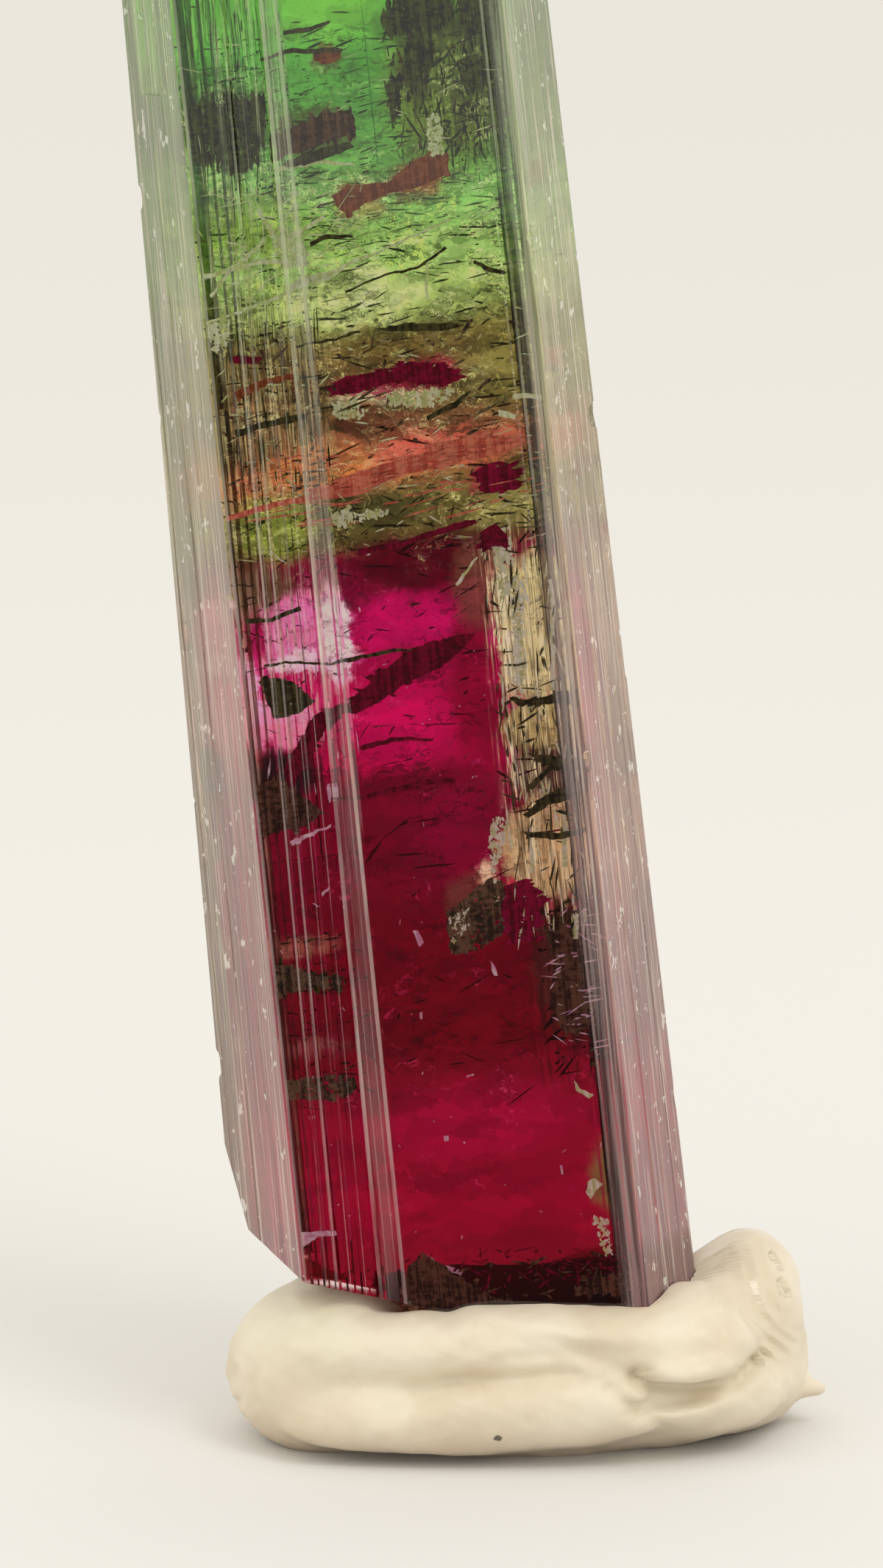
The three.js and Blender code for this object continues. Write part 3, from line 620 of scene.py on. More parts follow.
# Upright lines inside: seed, stretch, tone, x and height ranges, strength
STREAKS = (
    (5.0, (6.0, 3.0, 0.35), (236, 228, 184), (3.4, 9.0), (21.0, 38.0), 0.85),
    (17.0, (7.0, 3.0, 0.3), (62, 48, 30), (3.4, 9.0), (21.0, 38.0), 0.8),
    (29.0, (5.0, 3.0, 0.3), (44, 34, 24), (-8.0, -2.4), (42.0, 49.0), 0.75),
    (33.0, (7.0, 3.0, 0.3), (196, 190, 150), (-8.0, -2.4), (40.0, 48.0), 0.5),
    (37.0, (6.0, 3.0, 0.4), (24, 40, 16), (-8.0, -3.0), (54.0, 70.0), 0.7),
    (39.0, (5.0, 3.0, 0.25), (176, 214, 150), (-8.0, -3.0), (50.0, 70.0), 0.5),
    (41.0, (6.0, 3.0, 0.4), (24, 30, 14), (2.2, 7.0), (54.0, 70.0), 0.75),
    (43.0, (4.0, 3.0, 0.5), (40, 10, 12), (3.6, 8.0), (14.0, 22.0), 0.8),
    (47.0, (5.0, 3.0, 0.4), (222, 190, 196), (-8.0, -2.6), (30.0, 37.0), 0.45),
)
# Sharp-edged pieces inside: scale, darkest and lightest, lowest and highest height
SHARDS = (
    (1.5, 0.55, 1.55, 37.0, 55.0),
    (0.8, 0.8, 1.25, 6.0, 74.0),
)


def own_frame():
    """From the crystal's own frame in millimetres to the row frame in metres."""
    place = Matrix.Translation(CRYSTAL_FOOT) @ Matrix.Rotation(-LEAN, 4, "Y")
    return Matrix.Scale(MM, 4) @ place


def srgb(red, green, blue):
    """A colour as seen, from 0 to 255, as the linear values that the shader takes."""
    shares = [value / 255 for value in (red, green, blue)]
    linear = [s / 12.92 if s <= 0.04045 else ((s + 0.055) / 1.055) ** 2.4 for s in shares]
    return (*linear, 1.0)


def finish_mesh(bm, name, material, transform=None, smooth_angle=None):
    """Closes off a bmesh as an object at the origin with its place in its mesh."""
    bmesh.ops.triangulate(bm, faces=[face for face in bm.faces if len(face.verts) > 4])
    bmesh.ops.recalc_face_normals(bm, faces=bm.faces)
    if transform:
        bm.transform(transform)
    mesh = bpy.data.meshes.new(name)
    bm.to_mesh(mesh)
    bm.free()
    if smooth_angle is not None:
        mesh.shade_smooth()
        mesh.set_sharp_from_angle(angle=math.radians(smooth_angle))
    mesh.materials.append(material)
    piece = bpy.data.objects.new(name, mesh)
    bpy.context.scene.collection.objects.link(piece)
    return piece


def applied(piece, name, operand):
    """Cuts operand out of piece for good, and removes operand."""
    cut = piece.modifiers.new(name, "BOOLEAN")
    cut.operation = "DIFFERENCE"
    cut.solver = "EXACT"
    cut.object = operand
    graph = bpy.context.evaluated_depsgraph_get()
    mesh = bpy.data.meshes.new_from_object(piece.evaluated_get(graph))
    piece.modifiers.clear()
    old = piece.data
    piece.data = mesh
    mesh.name = name
    bpy.data.meshes.remove(old)
    bpy.data.objects.remove(operand)
    return piece


def risen(x, y, z):
    """Where a point of the foot's cross-section is at a given height."""
    return x + np.interp(x, DRIFT_AT, DRIFTS) * z, y * (1 - THINNING_PER_MM * z)


def face_of(number):
    """A face's start, run and outward direction in the cross-section."""
    start = Vector(CORNERS[number])
    run = Vector(CORNERS[(number + 1) % len(CORNERS)]) - start
    return start, run, Vector((run.y, -run.x)).normalized()


def side_ribs(count, depth, draw):
    """Random ribs across one side face; the outermost two stay flush with the corners."""
    widths = [0.3 + draw.random() for _ in range(count)]
    total = sum(widths)
    slope = GROOVE_SHARE / count
    ribs = []
    start = 0.0
    for rib, width in enumerate(widths):
        flush = rib in (0, count - 1)
        height = 0.0 if flush else -depth * draw.random()
        ribs.append((start + slope, start + width / total - slope, height))
        start += width / total
    return ribs


def striated_outline():
    """The cross-section at the foot with every rib and groove."""
    draw = random.Random(11)
    points = []
    for number in range(len(CORNERS)):
        start, run, outward = face_of(number)
        ribs = FRONT_RIBS
        if number:
            ribs = side_ribs(SIDE_RIB_COUNTS[number - 1], SIDE_RIB_DEPTHS[number - 1], draw)
        for first, last, height in ribs:
            points += [start + run * share + outward * height for share in (first, last)]
    return points


def plain_outline(offset):
    """The cross-section's corners moved outwards evenly."""
    points = []
    for number, corner in enumerate(CORNERS):
        before, after = face_of(number - 1 if number else len(CORNERS) - 1)[2], face_of(number)[2]
        points.append(Vector(corner) + (before + after) * (offset / (1 + before.dot(after))))
    return points


def prism(outline, low, high, cuts):
    """An outline drawn up into a prism that narrows towards the top."""
    bm = bmesh.new()
    foot = bm.faces.new([bm.verts.new((point.x, point.y, low)) for point in outline])
    drawn = bmesh.ops.extrude_face_region(bm, geom=[foot])
    top = [v for v in drawn["geom"] if isinstance(v, bmesh.types.BMVert)]
    bmesh.ops.translate(bm, verts=top, vec=(0, 0, high - low))
    if cuts:
        upright = [e for e in bm.edges if abs(e.verts[0].co.z - e.verts[1].co.z) > 1]
        bmesh.ops.subdivide_edges(bm, edges=upright, cuts=cuts, use_grid_fill=True)
    for vert in bm.verts:
        vert.co.x, vert.co.y = risen(*vert.co)
    return bm


def cut_off(bm, point, outward):
    """Removes what lies beyond a plane, and closes the cut."""
    geometry = bm.verts[:] + bm.edges[:] + bm.faces[:]
    cut = bmesh.ops.bisect_plane(
        bm, geom=geometry, dist=1e-5, plane_co=point, plane_no=outward, clear_outer=True
    )
    rim = [e for e in cut["geom_cut"] if isinstance(e, bmesh.types.BMEdge)]
    bmesh.ops.contextual_create(bm, geom=rim)


def foot_breaks(bm, gap):
    """Breaks the foot off, each plane moved outwards by the gap."""
    for point, outward in FOOT_BREAKS:
        away = Vector(outward).normalized()
        cut_off(bm, Vector(point) + away * gap, away)


def termination_slopes():
    """The outward directions of the three faces at the top."""
    flat = math.sin(PYRAMID_SLOPE)
    turns = [math.radians(azimuth) for azimuth in PYRAMID_AZIMUTHS]
    rise = math.cos(PYRAMID_SLOPE)
    return [Vector((flat * math.cos(turn), flat * math.sin(turn), rise)) for turn in turns]


def termination(bm, gap):
    """Cuts the top to its low pyramid, each plane moved outwards by the gap."""
    cut_off(bm, (0, 0, CRYSTAL_LENGTH + gap), (0, 0, 1))
    for outward in termination_slopes():
        cut_off(bm, Vector(PYRAMID_APEX) + outward * gap, outward)


def growth_step_cutters():
    """Blocks that take a thin layer off part of a face, from a height up."""
    for number, first, last, height, depth in GROWTH_STEPS:
        start, run, outward = face_of(number)
        middle = start + run * (first + last) / 2
        place = Vector(risen(middle.x, middle.y, height))
        above = Vector(risen(middle.x, middle.y, CRYSTAL_LENGTH))
        inward = -(above - place).dot(outward) / (CRYSTAL_LENGTH - height)
        bm = bmesh.new()
        bmesh.ops.create_cube(bm, size=1)
        bmesh.ops.scale(bm, vec=(run.length * (last - first), 4, CRYSTAL_LENGTH), verts=bm.verts)
        bmesh.ops.translate(bm, vec=(0, 2, CRYSTAL_LENGTH / 2), verts=bm.verts)
        turn = Matrix.Rotation(math.atan2(outward.y, outward.x) - math.pi / 2, 4, "Z")
        turn = turn @ Matrix.Rotation(math.atan(inward), 4, "X")
        bmesh.ops.transform(bm, matrix=turn, verts=bm.verts)
        place -= outward * depth
        bmesh.ops.translate(bm, vec=(place.x, place.y, height), verts=bm.verts)
        yield bm


def chip_cutter():
    """Uneven balls that take the chips out of the long edges."""
    bm = bmesh.new()
    for number, height, size in EDGE_CHIPS:
        edge = Vector(risen(*CORNERS[number], height))
        edge += edge.normalized() * size * 0.45
        ball = bmesh.ops.create_icosphere(bm, subdivisions=1, radius=size)["verts"]
        turn = Matrix.Rotation(height * 0.7, 4, "Z") @ Matrix.Rotation(height, 4, "X")
        turn = turn @ Matrix.Diagonal((1, 1, 1.7, 1))
        bmesh.ops.transform(bm, matrix=turn, verts=ball)
        bmesh.ops.translate(bm, vec=(edge.x, edge.y, height), verts=ball)
    return bm


def crystal_shape(name, material, steps):
    """The whole crystal, as light enters it."""
    bm = prism(striated_outline(), 0, CRYSTAL_LENGTH + SPARE_LENGTH, steps)
    foot_breaks(bm, 0)
    termination(bm, 0)
    piece = finish_mesh(bm, name, material, own_frame())
    for cutter in (*growth_step_cutters(), chip_cutter()):
        operand = finish_mesh(cutter, "cutter", material, own_frame())
        piece = applied(piece, name, operand)
    return piece


def heart_shape(name, material, rind, steps):
    """The coloured inside: the crystal once more, a little smaller all round."""
    outline = [Vector((point.x, point.y * HEART_FLATTER)) for point in plain_outline(-rind)]
    bm = prism(outline, 0, CRYSTAL_LENGTH + SPARE_LENGTH, steps)
    foot_breaks(bm, -rind)
    termination(bm, -rind)
    return finish_mesh(bm, name, material, own_frame())


def front_depth(x, z):
    """Where the front face is at a place on it."""
    first, last = CORNERS[0], CORNERS[1]
    slope = (last[1] - first[1]) / (last[0] - first[0])
    return (first[1] + (x - first[0]) * slope) * (1 - THINNING_PER_MM * z)


def ragged(points, seed, amount):
    """An outline with its edges divided and bent, so that it looks broken."""
    bent = []
    for first, last in zip(points, points[1:] + points[:1]):
        run = Vector(last) - Vector(first)
        count = max(1, round(run.length / 0.12))
        for part in range(count):
            place = Vector(first) + run * (part / count)
            wide = Vector((place.x * 0.7, place.y * 0.7, seed))
            fine = Vector((place.x * 3.1, place.y * 3.1, seed))
            shift = noise.noise_vector(wide) * 0.22 + noise.noise_vector(fine) * 0.1
            bent.append(place + Vector((shift.x, shift.y)) * amount)
    return bent


def flake(bm, points, depth, tilt=(0.0, 0.0)):
    """The front of a flake inside the crystal, seen at these (x, z) places from the front."""
    middle = sum(points, Vector((0, 0))) / len(points)
    left, right = [start + drift * middle.y for start, drift in (EDGE_LEFT, EDGE_RIGHT)]
    if not left + SMALLEST_INSET < middle.x < right - SMALLEST_INSET:
        return
    corners = []
    for point in points:
        x = min(max(point.x, left + EDGE_MARGIN), right - EDGE_MARGIN)
        point = Vector((x, point.y))
        away = point - middle
        y = front_depth(point.x, point.y) + depth + away.x * tilt[0] + away.y * tilt[1]
        corners.append((point.x, y, point.y - VEIL_DIP * depth))
    bm.faces.new([bm.verts.new(corner) for corner in corners])


def mean_width(outline):
    """Twice an outline's area for each mm along it."""
    pairs = list(zip(outline, outline[1:] + outline[:1]))
    area = abs(sum(first.cross(last) for first, last in pairs)) / 2
    return 2 * area / sum((last - first).length for first, last in pairs)


def inside(point, outline):
    """Whether a point lies within an outline."""
    crossings = 0
    for first, last in zip(outline, outline[1:] + outline[:1]):
        if (first.y > point.y) != (last.y > point.y):
            share = (point.y - first.y) / (last.y - first.y)
            crossings += point.x < first.x + (last.x - first.x) * share
    return crossings % 2 == 1


def splinter(draw, centre, long, wide, angle):
    """The outline of a pointed, uneven splinter."""
    turn = Matrix.Rotation(angle, 2)
    uneven = [0.5 + draw.random() for _ in range(4)]
    outline = (
        (-long, 0),
        (-long * 0.4, -wide * uneven[0]),
        (long * 0.5, -wide * uneven[1]),
        (long, wide * (uneven[0] - 1)),
        (long * 0.3, wide * uneven[2]),
        (-long * 0.5, wide * uneven[3]),
    )
    return [centre + turn @ Vector(point) for point in outline]


def veil_shape(name, material, sheets, look, swarms, draw):
    """All flakes of one kind: broken sheets with crumbs over and round them, and loose swarms."""
    solid, density, size, tall, spread = look
    noise.seed_set(NOISE_SEED)
    bm = bmesh.new()
    for number, (layer, points) in enumerate(sheets):
        outline = ragged(points, number * 1.7, 0.6)
        depth = SHEET_DEPTH + LAYER_STEP * layer
        thin = mean_width(outline) < LINE_WIDTH
        if solid or thin:
            flake(bm, outline, depth)
        across = [point.x for point in outline]
        up = [point.y for point in outline]
        width, height = max(across) - min(across), max(up) - min(up)
        for _ in range(0 if thin else int(width * height * density)):
            place = Vector((draw.uniform(min(across), max(across)), draw.uniform(min(up), max(up))))
            if inside(place, outline):
                long = size * draw.uniform(0.4, 1.3)
                angle = draw.gauss(math.pi / 2 if tall > 1 else 0.1, spread)
                reach = max(tall, 1 / tall) ** 0.5
                shard = splinter(draw, place, long * reach, long / reach, angle)
                tilt = (draw.uniform(-0.2, 0.2), draw.uniform(-0.2, 0.2))
                flake(bm, shard, depth - CRUMB_LIFT * draw.random(), tilt)
    for count, (left, right), (low, high), (near, far), (short, long), wide, angle, spread in swarms:
        for _ in range(count):
            centre = Vector((draw.uniform(left, right), draw.uniform(low, high)))
            length = short + (long - short) * draw.random() ** 2
            turn = math.radians(draw.gauss(angle, spread))
            shard = splinter(draw, centre, length / 2, wide * draw.uniform(0.4, 1.0), turn)
            flake(bm, shard, draw.uniform(near, far), (draw.uniform(-0.1, 0.1), 0))
    drawn = bmesh.ops.extrude_face_region(bm, geom=bm.faces[:])
    back = [v for v in drawn["geom"] if isinstance(v, bmesh.types.BMVert)]
    bmesh.ops.translate(bm, verts=back, vec=(0, FLAKE_THICKNESS, 0))
    return finish_mesh(bm, name, material, own_frame())


def lump_distance(points, centre, half, turn):
    """About how far points are from an ellipsoid's surface; below 0 inside it."""
    angle = math.radians(turn)
    p = points - np.array(centre)
    x = p[:, 0] * math.cos(angle) - p[:, 2] * math.sin(angle)
    z = p[:, 0] * math.sin(angle) + p[:, 2] * math.cos(angle)
    once = np.stack((x, p[:, 1], z), 1) / half
    size = np.linalg.norm(once, axis=1)
    return size * (size - 1) / np.maximum(np.linalg.norm(once / half, axis=1), 1e-6)


def blended(a, b, reach):
    """The lesser of two distances, with a soft joint."""
    h = np.maximum(reach - np.abs(a - b), 0) / reach
    return np.minimum(a, b) - h * h * reach / 4


def putty_distance(points):
    """About how far points are from the putty's surface."""
    distance = np.full(len(points), 24.0)
    for centre, half, turn, rounding in PUTTY_LUMPS:
        distance = blended(distance, lump_distance(points, centre, half, turn), rounding)
    for centre, half, turn, rounding in PUTTY_DENTS:
        distance = -blended(-distance, lump_distance(points, centre, half, turn), rounding)
    return distance - putty_skin(points)


def bump(points, centre, half):
    """1 at a centre, fading to 0 at the half sizes."""
    away = np.linalg.norm((points - np.array(centre)) / half, axis=1)
    return np.clip(1 - away, 0, 1) ** 0.7


def crease(points, width, depth, places):
    """A groove along a line of (x, z) places on the front."""
    near = np.full(len(points), 99.0)
    flat = points[:, (0, 2)]
    for first, last in zip(places, places[1:]):
        run = np.subtract(last, first)
        share = np.clip((flat - first) @ run / (run @ run), 0, 1)
        near = np.minimum(near, np.linalg.norm(flat - first - share[:, None] * run, axis=1))
    return np.where(points[:, 1] < 0, -depth * np.exp(-((near / width) ** 2)), 0)


def putty_skin(points):
    """Finger-ridge prints on the right-hand lump, creases, and a soft unevenness."""
    x, y, z = points.T
    ridges = np.sin((x * 0.86 + z * 0.5 + 0.25 * np.sin(z * 1.3)) * 2 * math.pi / 0.56)
    broken = np.clip(0.6 + np.sin(z * 2.1 + x) * np.sin(x * 1.7 - z * 1.1), 0, 1)
    skin = 0.085 * ridges * broken * bump(points, (10.4, -2.6, 5.6), (3.4, 4.4, 4.4))
    left = np.sin((x * 0.9 - z * 0.35) * 2 * math.pi / 0.55)
    skin += 0.04 * left * bump(points, (-12.4, -2.0, 2.2), (1.6, 4.5, 2.4))
    uneven = np.sin(x * 1.1 + 1.7 * np.sin(z * 0.9)) * np.sin(y * 1.3 + 0.8 * np.sin(x * 0.7 + z))
    fine = np.sin(x * 4.1 + 2 * np.sin(z * 2.3)) * np.sin(z * 4.7 + y * 3.1)
    lumpy = np.sin(x * 2.3 + 1.1 * np.sin(z * 1.9)) * np.sin(z * 2.9 + 1.3 * np.sin(x * 1.3))
    for width, depth, places in PUTTY_CREASES:
        skin += crease(points, width, depth, places)
    return skin + 0.06 * uneven + 0.02 * lumpy + 0.012 * fine


def putty_shape(name, material, around, rings):
    """The pressed lump: a sphere drawn onto the lumps, cut flat below, with the crystal's socket."""
    bm = bmesh.new()
    bmesh.ops.create_uvsphere(bm, u_segments=around, v_segments=rings, radius=1)
    bm.verts.ensure_lookup_table()
    unit = np.array([v.co[:] for v in bm.verts])
    azimuth = np.arctan2(unit[:, 1], unit[:, 0])
    crowded = azimuth - 0.45 * np.sin(azimuth + 0.35)
    flat = np.hypot(unit[:, 0], unit[:, 1])
    rays = np.stack((flat * np.cos(crowded), flat * np.sin(crowded), unit[:, 2]), 1)
    rays *= PUTTY_SPREAD
    rays /= np.linalg.norm(rays, axis=1)[:, None]
    reach = np.full(len(rays), 18.0)
    for _ in range(MARCH_STEPS):
        reach -= MARCH_SHARE * putty_distance(PUTTY_HEART + rays * reach[:, None])
    places = PUTTY_HEART + rays * reach[:, None]
    for vert, place in zip(bm.verts, places):
        vert.co = place
    cut_off(bm, (0, 0, 0), (0, 0, -1))
    piece = finish_mesh(bm, name, material, Matrix.Scale(MM, 4))
    socket = prism(plain_outline(GRIP_GAP), -2, 20, 0)
    foot_breaks(socket, GRIP_GAP)
    cutter = finish_mesh(socket, "socket", material, own_frame())
    piece = applied(piece, name, cutter)
    piece.data.shade_smooth()
    piece.data.set_sharp_from_angle(angle=math.radians(50))
    return piece


class Shader:
    """A material whose node tree is built step by step."""

    def __init__(self, name):
        self.material = bpy.data.materials.new(name)
        self.material.use_nodes = True
        self.nodes = self.material.node_tree.nodes
        self.links = self.material.node_tree.links
        self.surface = self.nodes["Principled BSDF"]
        self.output = self.nodes["Material Output"]

    def put(self, socket, value):
        """Sets a socket to a value, or links it to another socket."""
        if isinstance(value, bpy.types.NodeSocket):
            self.links.new(value, socket)
        else:
            socket.default_value = value

    def node(self, kind, inputs=None, **settings):
        """A new node with its inputs put in place."""
        node = self.nodes.new("ShaderNode" + kind)
        for key, value in settings.items():
            setattr(node, key, value)
        for key, value in (inputs or {}).items():
            self.put(node.inputs[key], value)
        return node

    def math(self, operation, first, second=0.0, third=0.0, clamp=False):
        inputs = {0: first, 1: second, 2: third}
        return self.node("Math", inputs, operation=operation, use_clamp=clamp).outputs[0]

    def vector(self, operation, first, second=(0, 0, 0)):
        node = self.node("VectorMath", {0: first, 1: second}, operation=operation)
        return node.outputs["Value" if operation in ("LENGTH", "DOT_PRODUCT") else "Vector"]

    def own(self):
        """The point in the crystal's own frame, in millimetres."""
        place = self.node("TexCoord").outputs["Object"]
        inputs = {
            "Vector": place,
            "Location": CRYSTAL_FOOT * MM,
            "Rotation": (0, -LEAN, 0),
            "Scale": (MM, MM, MM),
        }
        return self.node("Mapping", inputs, vector_type="TEXTURE").outputs[0]

    def dipping(self, place):
        """The same place followed along the dip to the middle of the crystal, almost flattened."""
        _, y, _ = self.split(place)
        rise = self.node("CombineXYZ", {2: self.math("MULTIPLY", y, VEIL_DIP)}).outputs[0]
        flat = self.vector("MULTIPLY", place, (1, 0.15, 1))
        return self.vector("ADD", flat, rise)

    def noise(self, place, scale=1.0, detail=4.0, stretch=None, roughness=0.55, colour=False):
        if stretch:
            place = self.vector("MULTIPLY", place, stretch)
        inputs = {"Vector": place, "Scale": scale, "Detail": detail, "Roughness": roughness}
        return self.node("TexNoise", inputs).outputs["Color" if colour else "Fac"]

    def split(self, place):
        return self.node("SeparateXYZ", {0: place}).outputs

    def step(self, value, low, high):
        """0 below low, 1 above high, smooth between. low may be above high."""
        inputs = {"Value": value, "From Min": low, "From Max": high}
        if low > high:
            inputs.update({"From Min": high, "From Max": low, "To Min": 1.0, "To Max": 0.0})
        return self.node("MapRange", inputs, interpolation_type="SMOOTHSTEP").outputs[0]

    def mix(self, share, first, second, blend="MIX"):
        node = self.node("Mix", data_type="RGBA", blend_type=blend)
        self.put(node.inputs["Factor"], share)
        self.put(node.inputs[6], first)
        self.put(node.inputs[7], second)
        return node.outputs[2]

    def up_crystal(self, height, tones):
        """The colour at a height from (height, colour as seen) pairs, blended between them."""
        share = self.node("MapRange", {"Value": height, "From Max": TONES_TOP}).outputs[0]
        node = self.node("ValToRGB", {0: share})
        elements = node.color_ramp.elements
        while len(elements) < len(tones):
            elements.new(0.5)
        for element, (place, colour) in zip(elements, tones):
            element.position = place / TONES_TOP
            element.color = srgb(*colour)
        return node.outputs["Color"]

    def blob(self, place, centre, half, strength, soft):
        """The strength inside an ellipse across x and up z, 0 outside."""
        moved = self.vector("SUBTRACT", place, (centre[0], 0, centre[1]))
        scaled = self.vector("MULTIPLY", moved, (1 / half[0], 0, 1 / half[1]))
        away = self.vector("LENGTH", scaled)
        fade = {"Value": away, "From Min": 1 - soft, "From Max": 1 + soft}
        fade.update({"To Min": strength, "To Max": 0.0})
        return self.node("MapRange", fade, interpolation_type="SMOOTHSTEP").outputs[0]


def across_face(shader, x, z):
    """How far across the front face a point is: 0 at its left edge, 1 at its right."""
    left = shader.math("MULTIPLY_ADD", z, EDGE_LEFT[1], EDGE_LEFT[0])
    right = shader.math("MULTIPLY_ADD", z, EDGE_RIGHT[1], EDGE_RIGHT[0])
    width = shader.math("SUBTRACT", right, left)
    return shader.math("DIVIDE", shader.math("SUBTRACT", x, left), width)


def zone_material(name):
    """The inner colour: bands up the crystal, patches, fractures, shards and streaks."""
    shader = Shader(name)
    own = shader.dipping(shader.own())
    wave = shader.noise(own, scale=0.9, detail=5.0, roughness=0.7, colour=True)
    wave = shader.vector("SUBTRACT", wave, (0.5, 0.5, 0.5))
    bent = shader.vector("ADD", own, shader.vector("MULTIPLY", wave, (2.0, 0, 1.7)))
    x, _, z = shader.split(bent)
    plain_x, _, plain_z = shader.split(own)
    tilt = shader.math("MULTIPLY", x, shader.step(z, 46.0, 42.0))
    tilt = shader.math("MULTIPLY", tilt, shader.step(z, 37.0, 40.0))
    height = shader.math("SUBTRACT", z, shader.math("MULTIPLY", tilt, 0.1))
    colour = shader.up_crystal(height, ZONE_COLOURS)
    for centre, half, tone, strength, soft in ZONE_PLACES:
        share = shader.blob(bent, centre, half, strength, soft)
        colour = shader.mix(share, colour, srgb(*tone))
    colour = shards(shader, colour, bent, plain_z)
    for seed, stretch, low, high, tone, strength, thick, broken in CRACKS:
        moved = shader.vector("ADD", bent, (seed, seed * 0.7, seed * 1.3))
        crack = shader.noise(moved, detail=2.0, stretch=stretch, roughness=0.6)
        thin = shader.math("ABSOLUTE", shader.math("SUBTRACT", crack, 0.5))
        line = shader.step(thin, thick, thick * 0.3)
        patch = shader.step(shader.noise(moved, scale=0.45, detail=1.0), broken, broken + 0.1)
        share = shader.math("MULTIPLY", line, patch)
        share = shader.math("MULTIPLY", share, shader.step(plain_z, low - 2, low + 2))
        share = shader.math("MULTIPLY", share, shader.step(plain_z, high + 2, high - 2))
        colour = shader.mix(shader.math("MULTIPLY", share, strength), colour, srgb(*tone))
    colour = streaks(shader, colour, own, plain_x, plain_z)
    colour = side_rind(shader, colour, own, plain_x, plain_z)
    bright = shader.mix(1.0, colour, (ZONE_GAIN, ZONE_GAIN, ZONE_GAIN, 1), "MULTIPLY")
    bright.node.clamp_result = True
    surface = shader.surface.inputs
    shader.put(surface["Base Color"], bright)
    surface["Roughness"].default_value = 0.0
    surface["IOR"].default_value = 1.0
    surface["Transmission Weight"].default_value = 0.9
    surface["Specular IOR Level"].default_value = 0.0
    return shader.material


def shards(shader, colour, bent, z):
    """Sharp-edged pieces, lighter and darker, where the crystal is broken up inside."""
    for scale, darkest, lightest, low, high in SHARDS:
        stretched = shader.vector("MULTIPLY", bent, (0.55, 0.6, 1.5))
        cell = shader.node("TexVoronoi", {"Vector": stretched, "Scale": scale}).outputs["Color"]
        span = {"From Min": 0.2, "From Max": 0.8, "To Min": darkest, "To Max": lightest}
        tone = shader.node("MapRange", {"Value": cell, **span}).outputs[0]
        share = shader.step(z, low - 2, low + 2)
        share = shader.math("MULTIPLY", share, shader.step(z, high + 3, high - 3))
        colour = shader.mix(share, colour, shader.mix(1.0, colour, tone, "MULTIPLY"))
    return colour


def streaks(shader, colour, own, x, z):
    """Fine upright lines: growth tubes on the right and in the broken middle."""
    for seed, stretch, tone, (left, right), (low, high), strength in STREAKS:
        moved = shader.vector("ADD", own, (seed, seed, seed))
        line = shader.noise(moved, detail=2.0, stretch=stretch, roughness=0.6)
        share = shader.step(line, 0.53, 0.58)
        share = shader.math("MULTIPLY", share, shader.step(x, left - 0.4, left + 0.4))
        share = shader.math("MULTIPLY", share, shader.step(x, right + 0.6, right - 0.6))
        share = shader.math("MULTIPLY", share, shader.step(z, low - 1.0, low + 1.0))
        share = shader.math("MULTIPLY", share, shader.step(z, high + 1.0, high - 1.0))
        colour = shader.mix(shader.math("MULTIPLY", share, strength), colour, srgb(*tone))
    return colour


def side_rind(shader, colour, own, x, z):
    """The pale rind on the narrow faces, greenish above and pinkish below."""
    across = across_face(shader, x, z)
    out = shader.math("ABSOLUTE", shader.math("SUBTRACT", across, 0.5))
    wander = shader.noise(own, scale=0.5, detail=4.0)
    out = shader.math("ADD", out, shader.math("MULTIPLY", shader.math("SUBTRACT", wander, 0.5), 0.03))
    share = shader.step(out, 0.47, 0.5)
    tone = shader.up_crystal(z, RIND_TONES)
    left = shader.math("MULTIPLY", shader.step(across, -0.03, -0.13), 0.6)
    tone = shader.mix(left, tone, srgb(192, 198, 160))
    return shader.mix(shader.math("MULTIPLY", share, 0.85), colour, tone)


